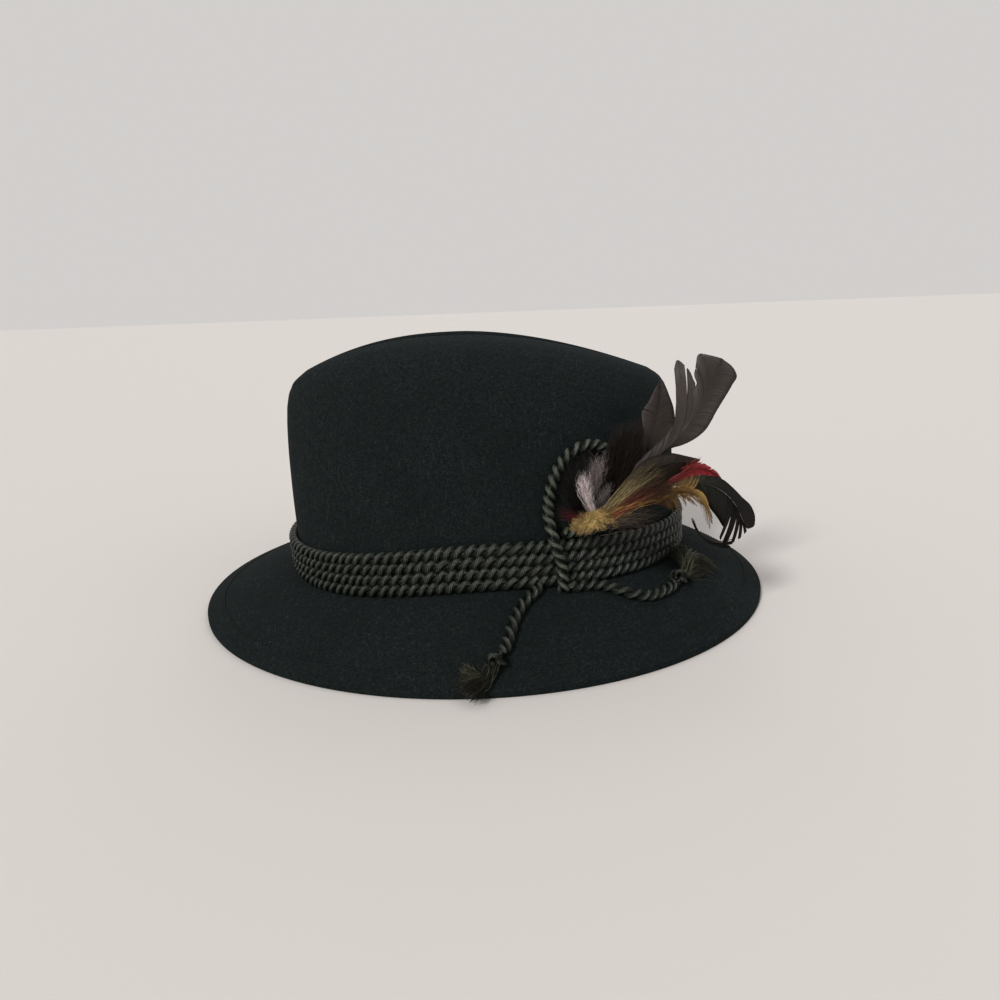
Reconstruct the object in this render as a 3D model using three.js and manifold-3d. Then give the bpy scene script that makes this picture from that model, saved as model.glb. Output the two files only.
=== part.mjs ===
// Tyrolean hat: one felt body, a band of four twisted cords, a cord loop bound over the band, two cord tails
// that end in a knot and a tassel, and a plume of feathers set in a small bound head.
// Millimetres, +Z up. The edge of the brim stands on z = 0 and is centred on the origin.
// The front of the hat is at -X, its back at +X and its trimmed side at -Y.
import * as THREE from 'three';
import { mergeVertices } from 'three/addons/utils/BufferGeometryUtils.js';
import Module from 'manifold-3d';

const wasm = await Module();
wasm.setup();

// Felt body
const BRIM_LENGTH = 300;
const BRIM_WIDTH = 268;
const HAT_HEIGHT = 136.2;
const FELT_THICKNESS = 2;
const CROWN_FRONT = 100; // from the origin to the foot of the crown, at the front
const CROWN_BACK = 104.5;
const CROWN_HALF_WIDTH = 86;
const FOOT_HEIGHT_FRONT = 18.3; // where the crown meets the brim
const FOOT_HEIGHT_SIDE = 27.9;
const FOOT_HEIGHT_BACK = 24;
const ROOF_TOP_X = -9; // the highest place of the ridges
const ROOF_DROP_FRONT = 22; // how far the roof line falls towards the foot's front and back
const ROOF_DROP_BACK = 27;
const ROOF_POWER_FRONT = 2.45;
const ROOF_POWER_BACK = 1.75;
const DENT_DEPTH = 17; // of the lengthwise dent, at the highest place of the ridges
const DENT_FLOOR_FOLLOW = 0.35; // share of the roof's fall that the floor of the dent follows
const PINCH_DEPTH = 3; // of the shallow pinch at each side of the front
const PINCH_X = -58;
const PINCH_Z = 112;
const PINCH_LENGTH = 22;
const PINCH_HEIGHT = 18;
const HEM_WIDTH = 8; // the brim's edge is turned under
const HEM_THICKNESS = 3.4;
const EDGE_ROUND = 0.8;
const REST_WIDTH = 2.8; // the flat ring on which the brim stands
const BRIM_BOW = 1.5;

// Cords
const CORD_DIAMETER = 4.3;
const CORD_SIDES = 8;
const ROW_COUNT = 4;
const ROW_SPREAD = 0.13; // how much further apart the rows lie at the trimmed side
const ROW_FOOT_GAP = 0.5;
const GAP = 0.3; // between pieces that touch
const KNOT_DIAMETER = 7.4;
const KNOT_LENGTH = 8;
const KNOT_SIDES = 10;
const TASSEL_HEAD_DIAMETER = 5.6;
const TASSEL_LENGTH_LEFT = 13;
const TASSEL_LENGTH_RIGHT = 23;
const TASSEL_LOCKS = 6;
const LOCK_THICKNESS = 2.4;

// Plume
const PLUME_AZIMUTH = -66; // degrees round the crown from its back
const PLUME_LIFT = 5.8; // of the head's middle over the run of cord that carries it
const HEAD_LENGTH = 15;
const HEAD_HEIGHT = 12;
const HEAD_DEPTH = 12;
const LAYER_STEP = 1.4; // between the planes of neighbouring feathers
const FEATHER_THICKNESS = 0.9;
const VANE_EDGE = 0.3;

const AZIMUTH_STEPS = 56;
const CORD_RADIUS = CORD_DIAMETER / 2;
const ROW_PITCH = CORD_DIAMETER + GAP;
const BRIM_TOP_EDGE = HEM_THICKNESS;

// Sections of the crown, from its foot to the ridges. The level is the share of the way up, and the rest
// are shares of CROWN_FRONT, CROWN_BACK and CROWN_HALF_WIDTH.
const CROWN_SECTIONS = [
  { level: 0, front: 1, back: 1, side: 1 },
  { level: 0.25, front: 1.01, back: 0.994, side: 0.975 },
  { level: 0.5, front: 1.014, back: 0.987, side: 0.912 },
  { level: 0.7, front: 1.012, back: 0.979, side: 0.822 },
  { level: 0.82, front: 1.006, back: 0.973, side: 0.715 },
  { level: 0.9, front: 0.996, back: 0.964, side: 0.6 },
  { level: 0.955, front: 0.975, back: 0.945, side: 0.47 },
  { level: 0.985, front: 0.942, back: 0.912, side: 0.345 },
  { level: 1, front: 0.885, back: 0.867, side: 0.235 },
];
// Shares of the way from the middle of the dent to the ridges, and from the crown's foot to the brim's edge
const DENT_SECTIONS = [0.2, 0.42, 0.62, 0.8, 0.92];
const HEM_SHARE = 1 - HEM_WIDTH / (BRIM_WIDTH / 2 - CROWN_HALF_WIDTH);
const BRIM_SECTIONS = [0.05, 0.16, 0.34, 0.52, 0.7, HEM_SHARE, 0.93, 1];
const INNER_DENT_SECTIONS = [0.2, 0.42, 0.8];
const INNER_CROWN_LEVELS = [0.985, 0.9, 0.7, 0.25, 0];
const INNER_BRIM_SECTIONS = [0.16, 0.52];

const lerp = THREE.MathUtils.lerp;
const smooth = (t) => t * t * (3 - 2 * t);
const radians = THREE.MathUtils.degToRad;

// The crown and the brim

function roofHeight(x) {
  const toFront = (ROOF_TOP_X - x) / (ROOF_TOP_X + CROWN_FRONT);
  const toBack = (x - ROOF_TOP_X) / (CROWN_BACK - ROOF_TOP_X);
  if (x < ROOF_TOP_X) return HAT_HEIGHT - ROOF_DROP_FRONT * toFront ** ROOF_POWER_FRONT;
  return HAT_HEIGHT - ROOF_DROP_BACK * toBack ** ROOF_POWER_BACK;
}

function footHeight(azimuth) {
  const c = Math.cos(azimuth);
  const end = c < 0 ? FOOT_HEIGHT_FRONT : FOOT_HEIGHT_BACK;
  return lerp(FOOT_HEIGHT_SIDE, end, smooth(Math.abs(c)));
}

function crownSection(level) {
  const upper = CROWN_SECTIONS.findIndex((row, i) => i > 0 && level <= row.level);
  const a = CROWN_SECTIONS[upper - 1];
  const b = CROWN_SECTIONS[upper];
  const t = (level - a.level) / (b.level - a.level);
  return { front: lerp(a.front, b.front, t), back: lerp(a.back, b.back, t), side: lerp(a.side, b.side, t) };
}

// An oval of two half ellipses that meet at x = 0
function ovalPoint(azimuth, front, back, side, z = 0) {
  const c = Math.cos(azimuth);
  return new THREE.Vector3(c * (c < 0 ? front : back), Math.sin(azimuth) * side, z);
}

function pinchInward(point) {
  const along = (point.x - PINCH_X) / PINCH_LENGTH;
  const up = (point.z - PINCH_Z) / PINCH_HEIGHT;
  const reach = THREE.MathUtils.smoothstep(Math.abs(point.y), 0, CROWN_HALF_WIDTH / 3);
  point.y -= Math.sign(point.y) * PINCH_DEPTH * reach * Math.exp(-along * along - up * up);
  return point;
}

function crownPoint(azimuth, level) {
  const share = crownSection(level);
  const front = CROWN_FRONT * share.front;
  const back = CROWN_BACK * share.back;
  const point = ovalPoint(azimuth, front, back, CROWN_HALF_WIDTH * share.side);
  point.z = lerp(footHeight(azimuth), roofHeight(point.x), level);
  return pinchInward(point);
}

function dentPoint(azimuth, share) {
  const ridge = crownPoint(azimuth, 1);
  const x = ridge.x * share;
  const floor = HAT_HEIGHT - DENT_DEPTH - DENT_FLOOR_FOLLOW * (HAT_HEIGHT - roofHeight(x));
  return new THREE.Vector3(x, ridge.y * share, lerp(floor, ridge.z, smooth(share)));
}

function brimHeight(azimuth, share) {
  return lerp(footHeight(azimuth), BRIM_TOP_EDGE, share) + BRIM_BOW * 4 * share * (1 - share);
}

function brimExtents(share, inset = EDGE_ROUND) {
  return [
    lerp(CROWN_FRONT, BRIM_LENGTH / 2 - inset, share),
    lerp(CROWN_BACK, BRIM_LENGTH / 2 - inset, share),
    lerp(CROWN_HALF_WIDTH, BRIM_WIDTH / 2 - inset, share),
  ];
}

function brimPoint(azimuth, share) {
  return ovalPoint(azimuth, ...brimExtents(share), brimHeight(azimuth, share));
}

// The top of the brim over a place in plan: the share whose oval passes through the place is found by halving
function brimHeightAt(x, y) {
  let low = 0;
  let high = 1;
  for (let i = 0; i < 30; i += 1) {
    const [front, back, side] = brimExtents((low + high) / 2);
    const outside = Math.hypot(x / (x < 0 ? front : back), y / side) > 1;
    if (outside) low = (low + high) / 2;
    else high = (low + high) / 2;
  }
  const [front, back, side] = brimExtents(low);
  return brimHeight(Math.atan2(y / side, x / (x < 0 ? front : back)), low);
}

function brimNormalAt(x, y) {
  const step = 0.5;
  const slopeX = (brimHeightAt(x + step, y) - brimHeightAt(x - step, y)) / (2 * step);
  const slopeY = (brimHeightAt(x, y + step) - brimHeightAt(x, y - step)) / (2 * step);
  return new THREE.Vector3(-slopeX, -slopeY, 1).normalize();
}

// The crown's wall at an azimuth and a height, moved outwards by a distance along its level normal
function outsideCrown(azimuth, height, distance) {
  let level = 0.2;
  for (let i = 0; i < 12; i += 1) {
    const roof = roofHeight(crownPoint(azimuth, level).x);
    const foot = footHeight(azimuth);
    level = THREE.MathUtils.clamp((height - foot) / (roof - foot), 0, 1);
  }
  const step = 1e-3;
  const along = crownPoint(azimuth + step, level).sub(crownPoint(azimuth - step, level));
  const normal = new THREE.Vector3(along.y, -along.x, 0).normalize();
  const place = crownPoint(azimuth, level).addScaledVector(normal, distance);
  place.z = height;
  return place;
}

function ring(pointAt) {
  return Array.from({ length: AZIMUTH_STEPS }, (_, j) => pointAt((2 * Math.PI * j) / AZIMUTH_STEPS));
}

// Closes a stack of equal rings between two poles. The first ring lies round the first pole.
function closeRings(firstPole, rings, lastPole) {
  const points = [firstPole, ...rings.flat(), lastPole];
  const count = rings[0].length;
  const index = [];
  const at = (i, j) => 1 + i * count + (j % count);
  for (let j = 0; j < count; j += 1) {
    index.push(0, at(0, j), at(0, j + 1));
    for (let i = 0; i + 1 < rings.length; i += 1) {
      index.push(at(i, j), at(i + 1, j), at(i + 1, j + 1), at(i, j), at(i + 1, j + 1), at(i, j + 1));
    }
    index.push(at(rings.length - 1, j), points.length - 1, at(rings.length - 1, j + 1));
  }
  const geometry = new THREE.BufferGeometry();
  geometry.setAttribute('position', new THREE.Float32BufferAttribute(points.flatMap((p) => p.toArray()), 3));
  geometry.setIndex(index);
  return geometry;
}

// One wall of felt: the outer skin from the middle of the dent to the brim's edge, the lip and the flat ring
// that it stands on, the step of the turned hem, and the inner skin, which is the outer one moved inwards.
function feltBody() {
  const levels = CROWN_SECTIONS.map((section) => section.level).reverse();
  const stations = [
    ...DENT_SECTIONS.map((share) => ({ key: `dent ${share}`, place: (a) => dentPoint(a, share) })),
    ...levels.map((level) => ({ key: `crown ${level}`, place: (a) => crownPoint(a, level) })),
    ...BRIM_SECTIONS.map((share) => ({ key: `brim ${share}`, place: (a) => brimPoint(a, share) })),
  ];
  const outer = stations.map((station) => ring(station.place));
  const inward = (key, distance) => {
    const i = stations.findIndex((station) => station.key === key);
    return outer[i].map((point, j) => {
      const before = outer[i - 1] ? outer[i - 1][j] : dentPoint(0, 0);
      const across = outer[i + 1][j].clone().sub(before);
      const round = outer[i][(j + 1) % AZIMUTH_STEPS].clone().sub(outer[i].at(j - 1));
      return point.clone().addScaledVector(across.cross(round).normalize(), -distance);
    });
  };
  const lip = (inset, z) => ring((a) => ovalPoint(a, ...brimExtents(1, inset), z));
  const inner = [
    lip(0, BRIM_TOP_EDGE - EDGE_ROUND),
    lip(0, EDGE_ROUND),
    lip(EDGE_ROUND, 0),
    lip(EDGE_ROUND + REST_WIDTH, 0),
    inward(`brim ${HEM_SHARE}`, HEM_THICKNESS),
    inward(`brim ${HEM_SHARE}`, FELT_THICKNESS),
    ...INNER_BRIM_SECTIONS.toReversed().map((share) => inward(`brim ${share}`, FELT_THICKNESS)),
    ...INNER_CROWN_LEVELS.toReversed().map((level) => inward(`crown ${level}`, FELT_THICKNESS)),
    ...INNER_DENT_SECTIONS.toReversed().map((share) => inward(`dent ${share}`, FELT_THICKNESS)),
  ];
  const middle = dentPoint(0, 0);
  return closeRings(middle, [...outer, ...inner], middle.clone().setZ(middle.z - FELT_THICKNESS));
}

// Cords

function polygon(radius, sides) {
  return Array.from({ length: sides }, (_, i) => {
    const turn = (2 * Math.PI * i) / sides;
    return new THREE.Vector2(radius * Math.cos(turn), radius * Math.sin(turn));
  });
}

function cordTube(points) {
  const path = new THREE.CatmullRomCurve3(points, false, 'centripetal');
  const steps = Math.min(80, Math.ceil(path.getLength() / (CORD_DIAMETER * 0.9)));
  const section = new THREE.Shape(polygon(CORD_RADIUS, CORD_SIDES));
  return new THREE.ExtrudeGeometry(section, { steps, extrudePath: path, bevelEnabled: false });
}

function rowHeight(azimuth, row) {
  const side = Math.max(0, -Math.sin(azimuth)) ** 2;
  const pitch = ROW_PITCH * (1 + ROW_SPREAD * side);
  return footHeight(azimuth) + ROW_FOOT_GAP + CORD_RADIUS + row * pitch;
}

// A row of the band goes once round the crown, and its ends pass into each other under the binding
function bandRow(row) {
  const points = ring((azimuth) => outsideCrown(azimuth, rowHeight(azimuth, row), CORD_RADIUS + GAP));
  const path = new THREE.CatmullRomCurve3(points, true);
  return new THREE.TubeGeometry(path, AZIMUTH_STEPS, CORD_RADIUS, CORD_SIDES, true);
}

// The loop's route, chosen by hand: degrees round the crown, height, and how far its middle is from the wall.
// It runs backwards on the highest row, rises behind the plume, bends forwards, comes down the wall and
// crosses the band.
const ON_WALL = CORD_RADIUS + GAP;
const OVER_BAND = 3 * CORD_RADIUS + 2 * GAP + 0.15;
const LOOP_ROUTE = [
  { azimuth: -72.4, height: 50.7, out: ON_WALL },
  { azimuth: -68.6, height: 50.7, out: ON_WALL },
  { azimuth: -65, height: 51, out: ON_WALL },
  { azimuth: -62, height: 52.2, out: ON_WALL },
  { azimuth: -59.7, height: 54.8, out: ON_WALL },
  { azimuth: -58.1, height: 59, out: ON_WALL },
  { azimuth: -56.8, height: 65, out: ON_WALL },
  { azimuth: -56, height: 72, out: ON_WALL },
  { azimuth: -56.4, height: 79, out: ON_WALL },
  { azimuth: -58.4, height: 84.6, out: ON_WALL },
  { azimuth: -61.4, height: 87.6, out: ON_WALL },
  { azimuth: -64.5, height: 88, out: ON_WALL },
  { azimuth: -67.6, height: 86.8, out: ON_WALL },
  { azimuth: -70.4, height: 84, out: ON_WALL },
  { azimuth: -72.5, height: 80, out: ON_WALL },
  { azimuth: -74.1, height: 75, out: ON_WALL },
  { azimuth: -75.2, height: 69.5, out: ON_WALL },
  { azimuth: -75.8, height: 64, out: ON_WALL },
  { azimuth: -76, height: 59.2, out: ON_WALL + 0.4 },
  { azimuth: -75.9, height: 54.8, out: ON_WALL + 2.1 },
  { azimuth: -75.6, height: 50.6, out: OVER_BAND - 0.9 },
  { azimuth: -75, height: 46, out: OVER_BAND + 0.1 },
  { azimuth: -74.2, height: 41, out: OVER_BAND + 0.1 },
  { azimuth: -73.7, height: 36, out: OVER_BAND },
  { azimuth: -73.6, height: 31, out: OVER_BAND },
  { azimuth: -73.5, height: 26.8, out: OVER_BAND - 0.2 },
];

// The tails' routes in plan, chosen by hand. They lie on the brim.
const LEFT_TAIL_ROUTE = [
  [17.8, -92.3], [14.9, -95], [12, -98.4], [9.6, -102.2], [7.5, -106.2], [5.8, -110.3], [4.3, -114.4],
  [2.7, -118.4], [0.6, -121.6],
];
const RIGHT_TAIL_ROUTE = [
  [34.9, -87.9], [39, -86.7], [43.5, -85.6], [48, -84.9], [52.5, -85.4], [57, -86.8], [62, -87.9], [67, -88],
  [72, -86.6], [77, -83.7], [81.8, -79.8], [86, -75.3],
];

function onBrim([x, y], radius) {
  const lift = (radius + GAP) / brimNormalAt(x, y).z;
  return new THREE.Vector3(x, y, brimHeightAt(x, y) + lift);
}

// Sections of a tassel's lock: the share of its length, and its width and half thickness as shares of
// LOCK_THICKNESS
const LOCK_SECTIONS = [
  { share: 0.02, width: 1, half: 0.6 },
  { share: 0.3, width: 1.3, half: 0.5 },
  { share: 0.6, width: 1.7, half: 0.4 },
  { share: 0.85, width: 1.8, half: 0.32 },
  { share: 1, width: 1.2, half: 0.25 },
];

// A knot is two turns of the cord drawn tight on its own run, and a tassel is the cord's frayed end
function knotGeometry() {
  const radius = KNOT_DIAMETER / 2;
  const half = KNOT_LENGTH / 2;
  const profile = [
    { radius: 0, along: -1 },
    { radius: 0.62, along: -0.97 },
    { radius: 0.95, along: -0.6 },
    { radius: 0.84, along: 0 },
    { radius: 1, along: 0.55 },
    { radius: 0.6, along: 0.97 },
    { radius: 0, along: 1 },
  ];
  const points = profile.map((row) => new THREE.Vector2(row.radius * radius, row.along * half));
  return new THREE.LatheGeometry(points, KNOT_SIDES);
}

const toSolid = (geometry) => {
  const bare = geometry.clone();
  bare.deleteAttribute('normal');
  bare.deleteAttribute('uv');
  const merged = mergeVertices(bare, 1e-4);
  const vertProperties = new Float32Array(merged.attributes.position.array);
  const triVerts = new Uint32Array(merged.index.array);
  return new wasm.Manifold(new wasm.Mesh({ numProp: 3, vertProperties, triVerts }));
};

const toGeometry = (solid) => {
  const mesh = solid.getMesh();
  const geometry = new THREE.BufferGeometry();
  geometry.setAttribute('position', new THREE.Float32BufferAttribute(mesh.vertProperties, mesh.numProp));
  geometry.setIndex(new THREE.BufferAttribute(mesh.triVerts, 1));
  return geometry;
};

// A flat strip along a path. Each row has its middle, the way across to its lower side, the widths of the
// upper and lower side and a half thickness. The strip lies square to its face direction.
function strip(rows, face) {
  const rings = rows.map((row) => {
    const edge = Math.min(VANE_EDGE / 2, row.half);
    const shift = (across, out) => row.across.clone().multiplyScalar(across).addScaledVector(face, out);
    const place = (across, out) => row.middle.clone().add(shift(across, out));
    return [
      place(row.lower, edge), place(0, row.half), place(-row.upper, edge),
      place(-row.upper, -edge), place(0, -row.half), place(row.lower, -edge),
    ];
  });
  const total = (points) => points.reduce((sum, p) => sum.add(p), new THREE.Vector3());
  const centre = (points) => total(points).divideScalar(points.length);
  return closeRings(centre(rings[0]), rings, centre(rings.at(-1)));
}

// Locks of fibre fan out from a small head over the brim, each a strip that widens and thins towards its end
function tasselGeometry(place, heading, spread, length) {
  const head = new THREE.SphereGeometry(TASSEL_HEAD_DIAMETER / 2, 8, 5).translate(...place.toArray());
  const face = brimNormalAt(place.x, place.y);
  let solid = toSolid(head);
  for (let lock = 0; lock < TASSEL_LOCKS; lock += 1) {
    const side = lock / (TASSEL_LOCKS - 1) - 0.5;
    const reach = length * (1 - 0.35 * side * side - 0.08 * (lock % 2));
    const middles = LOCK_SECTIONS.map(({ share, half }) => {
      const angle = heading + spread * side * (0.6 + 0.5 * share);
      const x = place.x + reach * share * Math.cos(angle);
      const y = place.y + reach * share * Math.sin(angle);
      const resting = onBrim([x, y], half * LOCK_THICKNESS);
      return resting.setZ(lerp(place.z, resting.z, Math.min(1, 1.4 * share)));
    });
    const rows = LOCK_SECTIONS.map(({ width, half }, i) => {
      const ahead = middles[Math.min(i + 1, middles.length - 1)].clone().sub(middles[Math.max(i - 1, 0)]);
      const across = face.clone().cross(ahead).normalize().negate();
      const reachAcross = (width * LOCK_THICKNESS) / 2;
      const halfThickness = half * LOCK_THICKNESS;
      return { middle: middles[i], across, upper: reachAcross, lower: reachAcross, half: halfThickness };
    });
    solid = solid.add(toSolid(strip(rows, face)));
  }
  return toGeometry(solid);
}

// The plume. Its parts lie in upright planes that fan out from the head, a layer apart.

const plumePlace = () => {
  const azimuth = radians(PLUME_AZIMUTH);
  const height = rowHeight(azimuth, ROW_COUNT) + PLUME_LIFT;
  return outsideCrown(azimuth, height, HEAD_DEPTH / 2 + CORD_DIAMETER + 2 * GAP);
};
const PLUME = plumePlace();

function headSolid(extra) {
  const ball = new THREE.SphereGeometry(1, 14, 8);
  ball.scale(HEAD_LENGTH / 2 + extra, HEAD_DEPTH / 2 + extra, HEAD_HEIGHT / 2 + extra);
  return toSolid(ball.translate(...PLUME.toArray()));
}

// A station of a vane holds shares of the feather's length: along and up from the head, and the vane's
// widths above and below its shaft.
const at = (along, up, upper, lower) => ({ along, up, upper, lower });

// The layer counts planes outwards from the middle of the head, and the slant is how far the plane leans in
// towards the crown for each millimetre along.
const FEATHERS = {
  feather_inner_grey: {
    length: 66, layer: -3, slant: 0.3, color: 0x5d5557,
    strips: [[
      at(0, 0, 0.012, 0.012),
      at(0.17, 0.12, 0.015, 0.015),
      at(0.42, 0.33, 0.05, 0.05),
      at(0.49, 0.5, 0.11, 0.14),
      at(0.52, 0.68, 0.11, 0.12),
      at(0.53, 0.8, 0.07, 0.08),
      at(0.535, 0.885, 0.015, 0.015),
    ]],
  },
  down_brown: {
    length: 42, layer: -2, slant: 0.2, color: 0x2b211d,
    strips: [
      [
        at(0, 0, 0.03, 0.03),
        at(0.12, 0.4, 0.09, 0.09),
        at(0.13, 0.65, 0.1, 0.09),
        at(0.13, 0.86, 0.02, 0.02),
      ],
      [
        at(0, 0, 0.03, 0.03),
        at(0.2, 0.4, 0.09, 0.09),
        at(0.3, 0.7, 0.1, 0.1),
        at(0.34, 0.97, 0.02, 0.02),
      ],
      [
        at(0, 0, 0.03, 0.03),
        at(0.3, 0.36, 0.08, 0.08),
        at(0.46, 0.6, 0.1, 0.09),
        at(0.57, 0.84, 0.02, 0.02),
      ],
    ],
  },
  feather_tall_grey: {
    length: 90, layer: -1, slant: 0.15, color: 0x4d4744,
    strips: [
      [
        at(0, 0, 0.009, 0.009),
        at(0.064, 0.078, 0.01, 0.01),
        at(0.239, 0.203, 0.012, 0.014),
        at(0.41, 0.325, 0.02, 0.03),
        at(0.492, 0.44, 0.035, 0.12),
        at(0.583, 0.6, 0.05, 0.155),
        at(0.64, 0.7, 0.1, 0.13),
        at(0.675, 0.772, 0.06, 0.06),
      ],
      [
        at(0.4, 0.32, 0.01, 0.01),
        at(0.455, 0.5, 0.022, 0.022),
        at(0.445, 0.64, 0.028, 0.028),
        at(0.44, 0.745, 0.01, 0.01),
      ],
      [
        at(0.43, 0.34, 0.01, 0.01),
        at(0.505, 0.5, 0.022, 0.022),
        at(0.508, 0.635, 0.01, 0.01),
      ],
    ],
  },
  feather_broad_brown: {
    length: 60, layer: 0, slant: 0.1, color: 0x2a211b,
    strips: [[
      at(0, 0, 0.015, 0.015),
      at(0.13, 0.12, 0.02, 0.02),
      at(0.3, 0.22, 0.08, 0.06),
      at(0.52, 0.31, 0.11, 0.09),
      at(0.75, 0.34, 0.1, 0.09),
      at(0.9, 0.3, 0.06, 0.06),
      at(0.96, 0.26, 0.015, 0.015),
    ]],
  },
  down_white: {
    length: 32, layer: 0, slant: 0.05, color: 0x9d9696,
    strips: [
      [
        at(0, 0, 0.04, 0.04),
        at(-0.12, 0.35, 0.09, 0.08),
        at(-0.18, 0.68, 0.02, 0.02),
      ],
      [
        at(0, 0, 0.04, 0.04),
        at(-0.03, 0.45, 0.11, 0.1),
        at(0.01, 0.8, 0.02, 0.02),
      ],
      [
        at(0, 0, 0.04, 0.04),
        at(0.08, 0.5, 0.1, 0.1),
        at(0.15, 0.95, 0.02, 0.02),
      ],
    ],
  },
  feather_red: {
    length: 62, layer: 1, slant: 0.08, color: 0x7d1822,
    strips: [[
      at(0, 0, 0.012, 0.012),
      at(0.13, 0.1, 0.015, 0.015),
      at(0.35, 0.21, 0.025, 0.025),
      at(0.57, 0.295, 0.03, 0.03),
      at(0.76, 0.335, 0.05, 0.045),
      at(0.87, 0.31, 0.04, 0.04),
      at(0.94, 0.26, 0.012, 0.012),
    ]],
  },
  feather_cock: {
    length: 72, layer: 2, slant: 0.02, color: 0x14181a,
    strips: [[
      at(0, 0, 0.01, 0.01),
      at(0.12, 0.06, 0.012, 0.012),
      at(0.34, 0.15, 0.02, 0.02),
      at(0.57, 0.205, 0.03, 0.035),
      at(0.71, 0.19, 0.055, 0.085),
      at(0.82, 0.1, 0.08, 0.13),
      at(0.89, -0.03, 0.075, 0.12),
      at(0.895, -0.14, 0.03, 0.06),
    ]],
  },
  feather_yellow: {
    length: 58, layer: 3, slant: 0, color: 0x9a7f33,
    strips: [[
      at(0, 0, 0.02, 0.02),
      at(0.13, 0.08, 0.03, 0.03),
      at(0.34, 0.165, 0.06, 0.06),
      at(0.57, 0.205, 0.06, 0.07),
      at(0.77, 0.19, 0.05, 0.07),
      at(0.9, 0.06, 0.035, 0.05),
      at(0.93, -0.08, 0.012, 0.012),
    ]],
  },
};

// Rows of strips to the head's own front, which are its longest hackles
const HACKLES = {
  length: 32, layer: 4.2, slant: -0.12,
  strips: [
    [
      at(0, 0, 0.09, 0.09),
      at(0.35, 0.36, 0.09, 0.09),
      at(0.7, 0.66, 0.02, 0.02),
    ],
    [
      at(0, 0, 0.09, 0.09),
      at(0.45, 0.24, 0.1, 0.1),
      at(0.95, 0.42, 0.02, 0.02),
    ],
    [
      at(0, 0, 0.09, 0.09),
      at(0.5, 0.06, 0.09, 0.08),
      at(0.98, 0.06, 0.02, 0.02),
    ],
    [
      at(0, 0, 0.09, 0.09),
      at(0.45, -0.12, 0.07, 0.07),
      at(0.88, -0.15, 0.02, 0.02),
    ],
    [
      at(0, 0, 0.08, 0.08),
      at(-0.2, 0.14, 0.06, 0.06),
      at(-0.36, 0.26, 0.02, 0.02),
    ],
  ],
};

function featherSolid({ length, layer, slant, strips }) {
  const outward = PLUME.clone().sub(outsideCrown(radians(PLUME_AZIMUTH), PLUME.z, 0)).normalize();
  const along = new THREE.Vector3(1, slant, 0).normalize();
  const face = new THREE.Vector3(along.y, -along.x, 0);
  const root = PLUME.clone().addScaledVector(outward, layer * LAYER_STEP);
  const solids = strips.map((rows) => {
    const middles = rows.map((row) =>
      root.clone().addScaledVector(along, row.along * length).add(new THREE.Vector3(0, 0, row.up * length)));
    const placed = rows.map((row, i) => {
      const ahead = middles[Math.min(i + 1, rows.length - 1)].clone().sub(middles[Math.max(i - 1, 0)]);
      const across = face.clone().cross(ahead).normalize().negate();
      const half = FEATHER_THICKNESS / 2;
      return { middle: middles[i], across, upper: row.upper * length, lower: row.lower * length, half };
    });
    return toSolid(strip(placed, face));
  });
  return solids.reduce((sum, solid) => sum.add(solid));
}

// The assembly

const FELT = { color: 0x1b2224, roughness: 0.95, metalness: 0 };
const CORD = { color: 0x1d241d, roughness: 0.55, metalness: 0 };
const PLUMAGE = { roughness: 0.7, metalness: 0 };

const hat = new THREE.Group();

function add(parent, name, geometry, finish) {
  const mesh = new THREE.Mesh(geometry, new THREE.MeshStandardMaterial(finish));
  mesh.name = name;
  parent.add(mesh);
  return mesh;
}

add(hat, 'felt_body', feltBody(), FELT);

const band = new THREE.Group();
for (let row = 0; row < ROW_COUNT; row += 1) add(band, `band_row_${row + 1}`, bandRow(row), CORD);
const loopPoints = LOOP_ROUTE.map(({ azimuth, height, out }) => outsideCrown(radians(azimuth), height, out));
add(band, 'cord_loop', cordTube(loopPoints), CORD);
hat.add(band);

function addTail(side, route, turn, spread, tasselLength) {
  const tail = new THREE.Group();
  const points = route.map((place) => onBrim(place, CORD_RADIUS));
  add(tail, `tail_${side}`, cordTube(points), CORD);
  const run = points.at(-1).clone().sub(points.at(-2)).setZ(0).normalize();
  const ahead = (distance) => [points.at(-1).x + run.x * distance, points.at(-1).y + run.y * distance];
  const knotPlace = onBrim(ahead(KNOT_LENGTH / 2 + GAP), KNOT_DIAMETER / 2);
  const slope = onBrim(ahead(KNOT_LENGTH), KNOT_DIAMETER / 2).sub(knotPlace).normalize();
  const knot = add(tail, `knot_${side}`, knotGeometry(), CORD);
  knot.position.copy(knotPlace).addScaledVector(slope, GAP);
  knot.quaternion.setFromUnitVectors(new THREE.Vector3(0, 1, 0), slope);
  const headPlace = onBrim(ahead(KNOT_LENGTH + 3 * GAP + TASSEL_HEAD_DIAMETER / 2), TASSEL_HEAD_DIAMETER / 2);
  const heading = Math.atan2(run.y, run.x) + radians(turn);
  add(tail, `tassel_${side}`, tasselGeometry(headPlace, heading, radians(spread), tasselLength), CORD);
  hat.add(tail);
}
addTail('left', LEFT_TAIL_ROUTE, -62, 70, TASSEL_LENGTH_LEFT);
addTail('right', RIGHT_TAIL_ROUTE, 10, 66, TASSEL_LENGTH_RIGHT);

const plume = new THREE.Group();
const clearHead = headSolid(GAP);
const head = headSolid(0).add(featherSolid(HACKLES));
add(plume, 'plume_head', toGeometry(head), { ...PLUMAGE, color: 0x8a6f3a });
for (const [name, feather] of Object.entries(FEATHERS)) {
  const solid = featherSolid(feather).subtract(clearHead);
  add(plume, name, toGeometry(solid), { ...PLUMAGE, color: feather.color });
}
hat.add(plume);

export default hat;
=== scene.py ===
"""The looks of a felt hat: brushed felt, a band of cord with a loop and two knotted tails, and a plume."""

import math

import bpy
import numpy as np
from mathutils import Matrix, Vector


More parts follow.
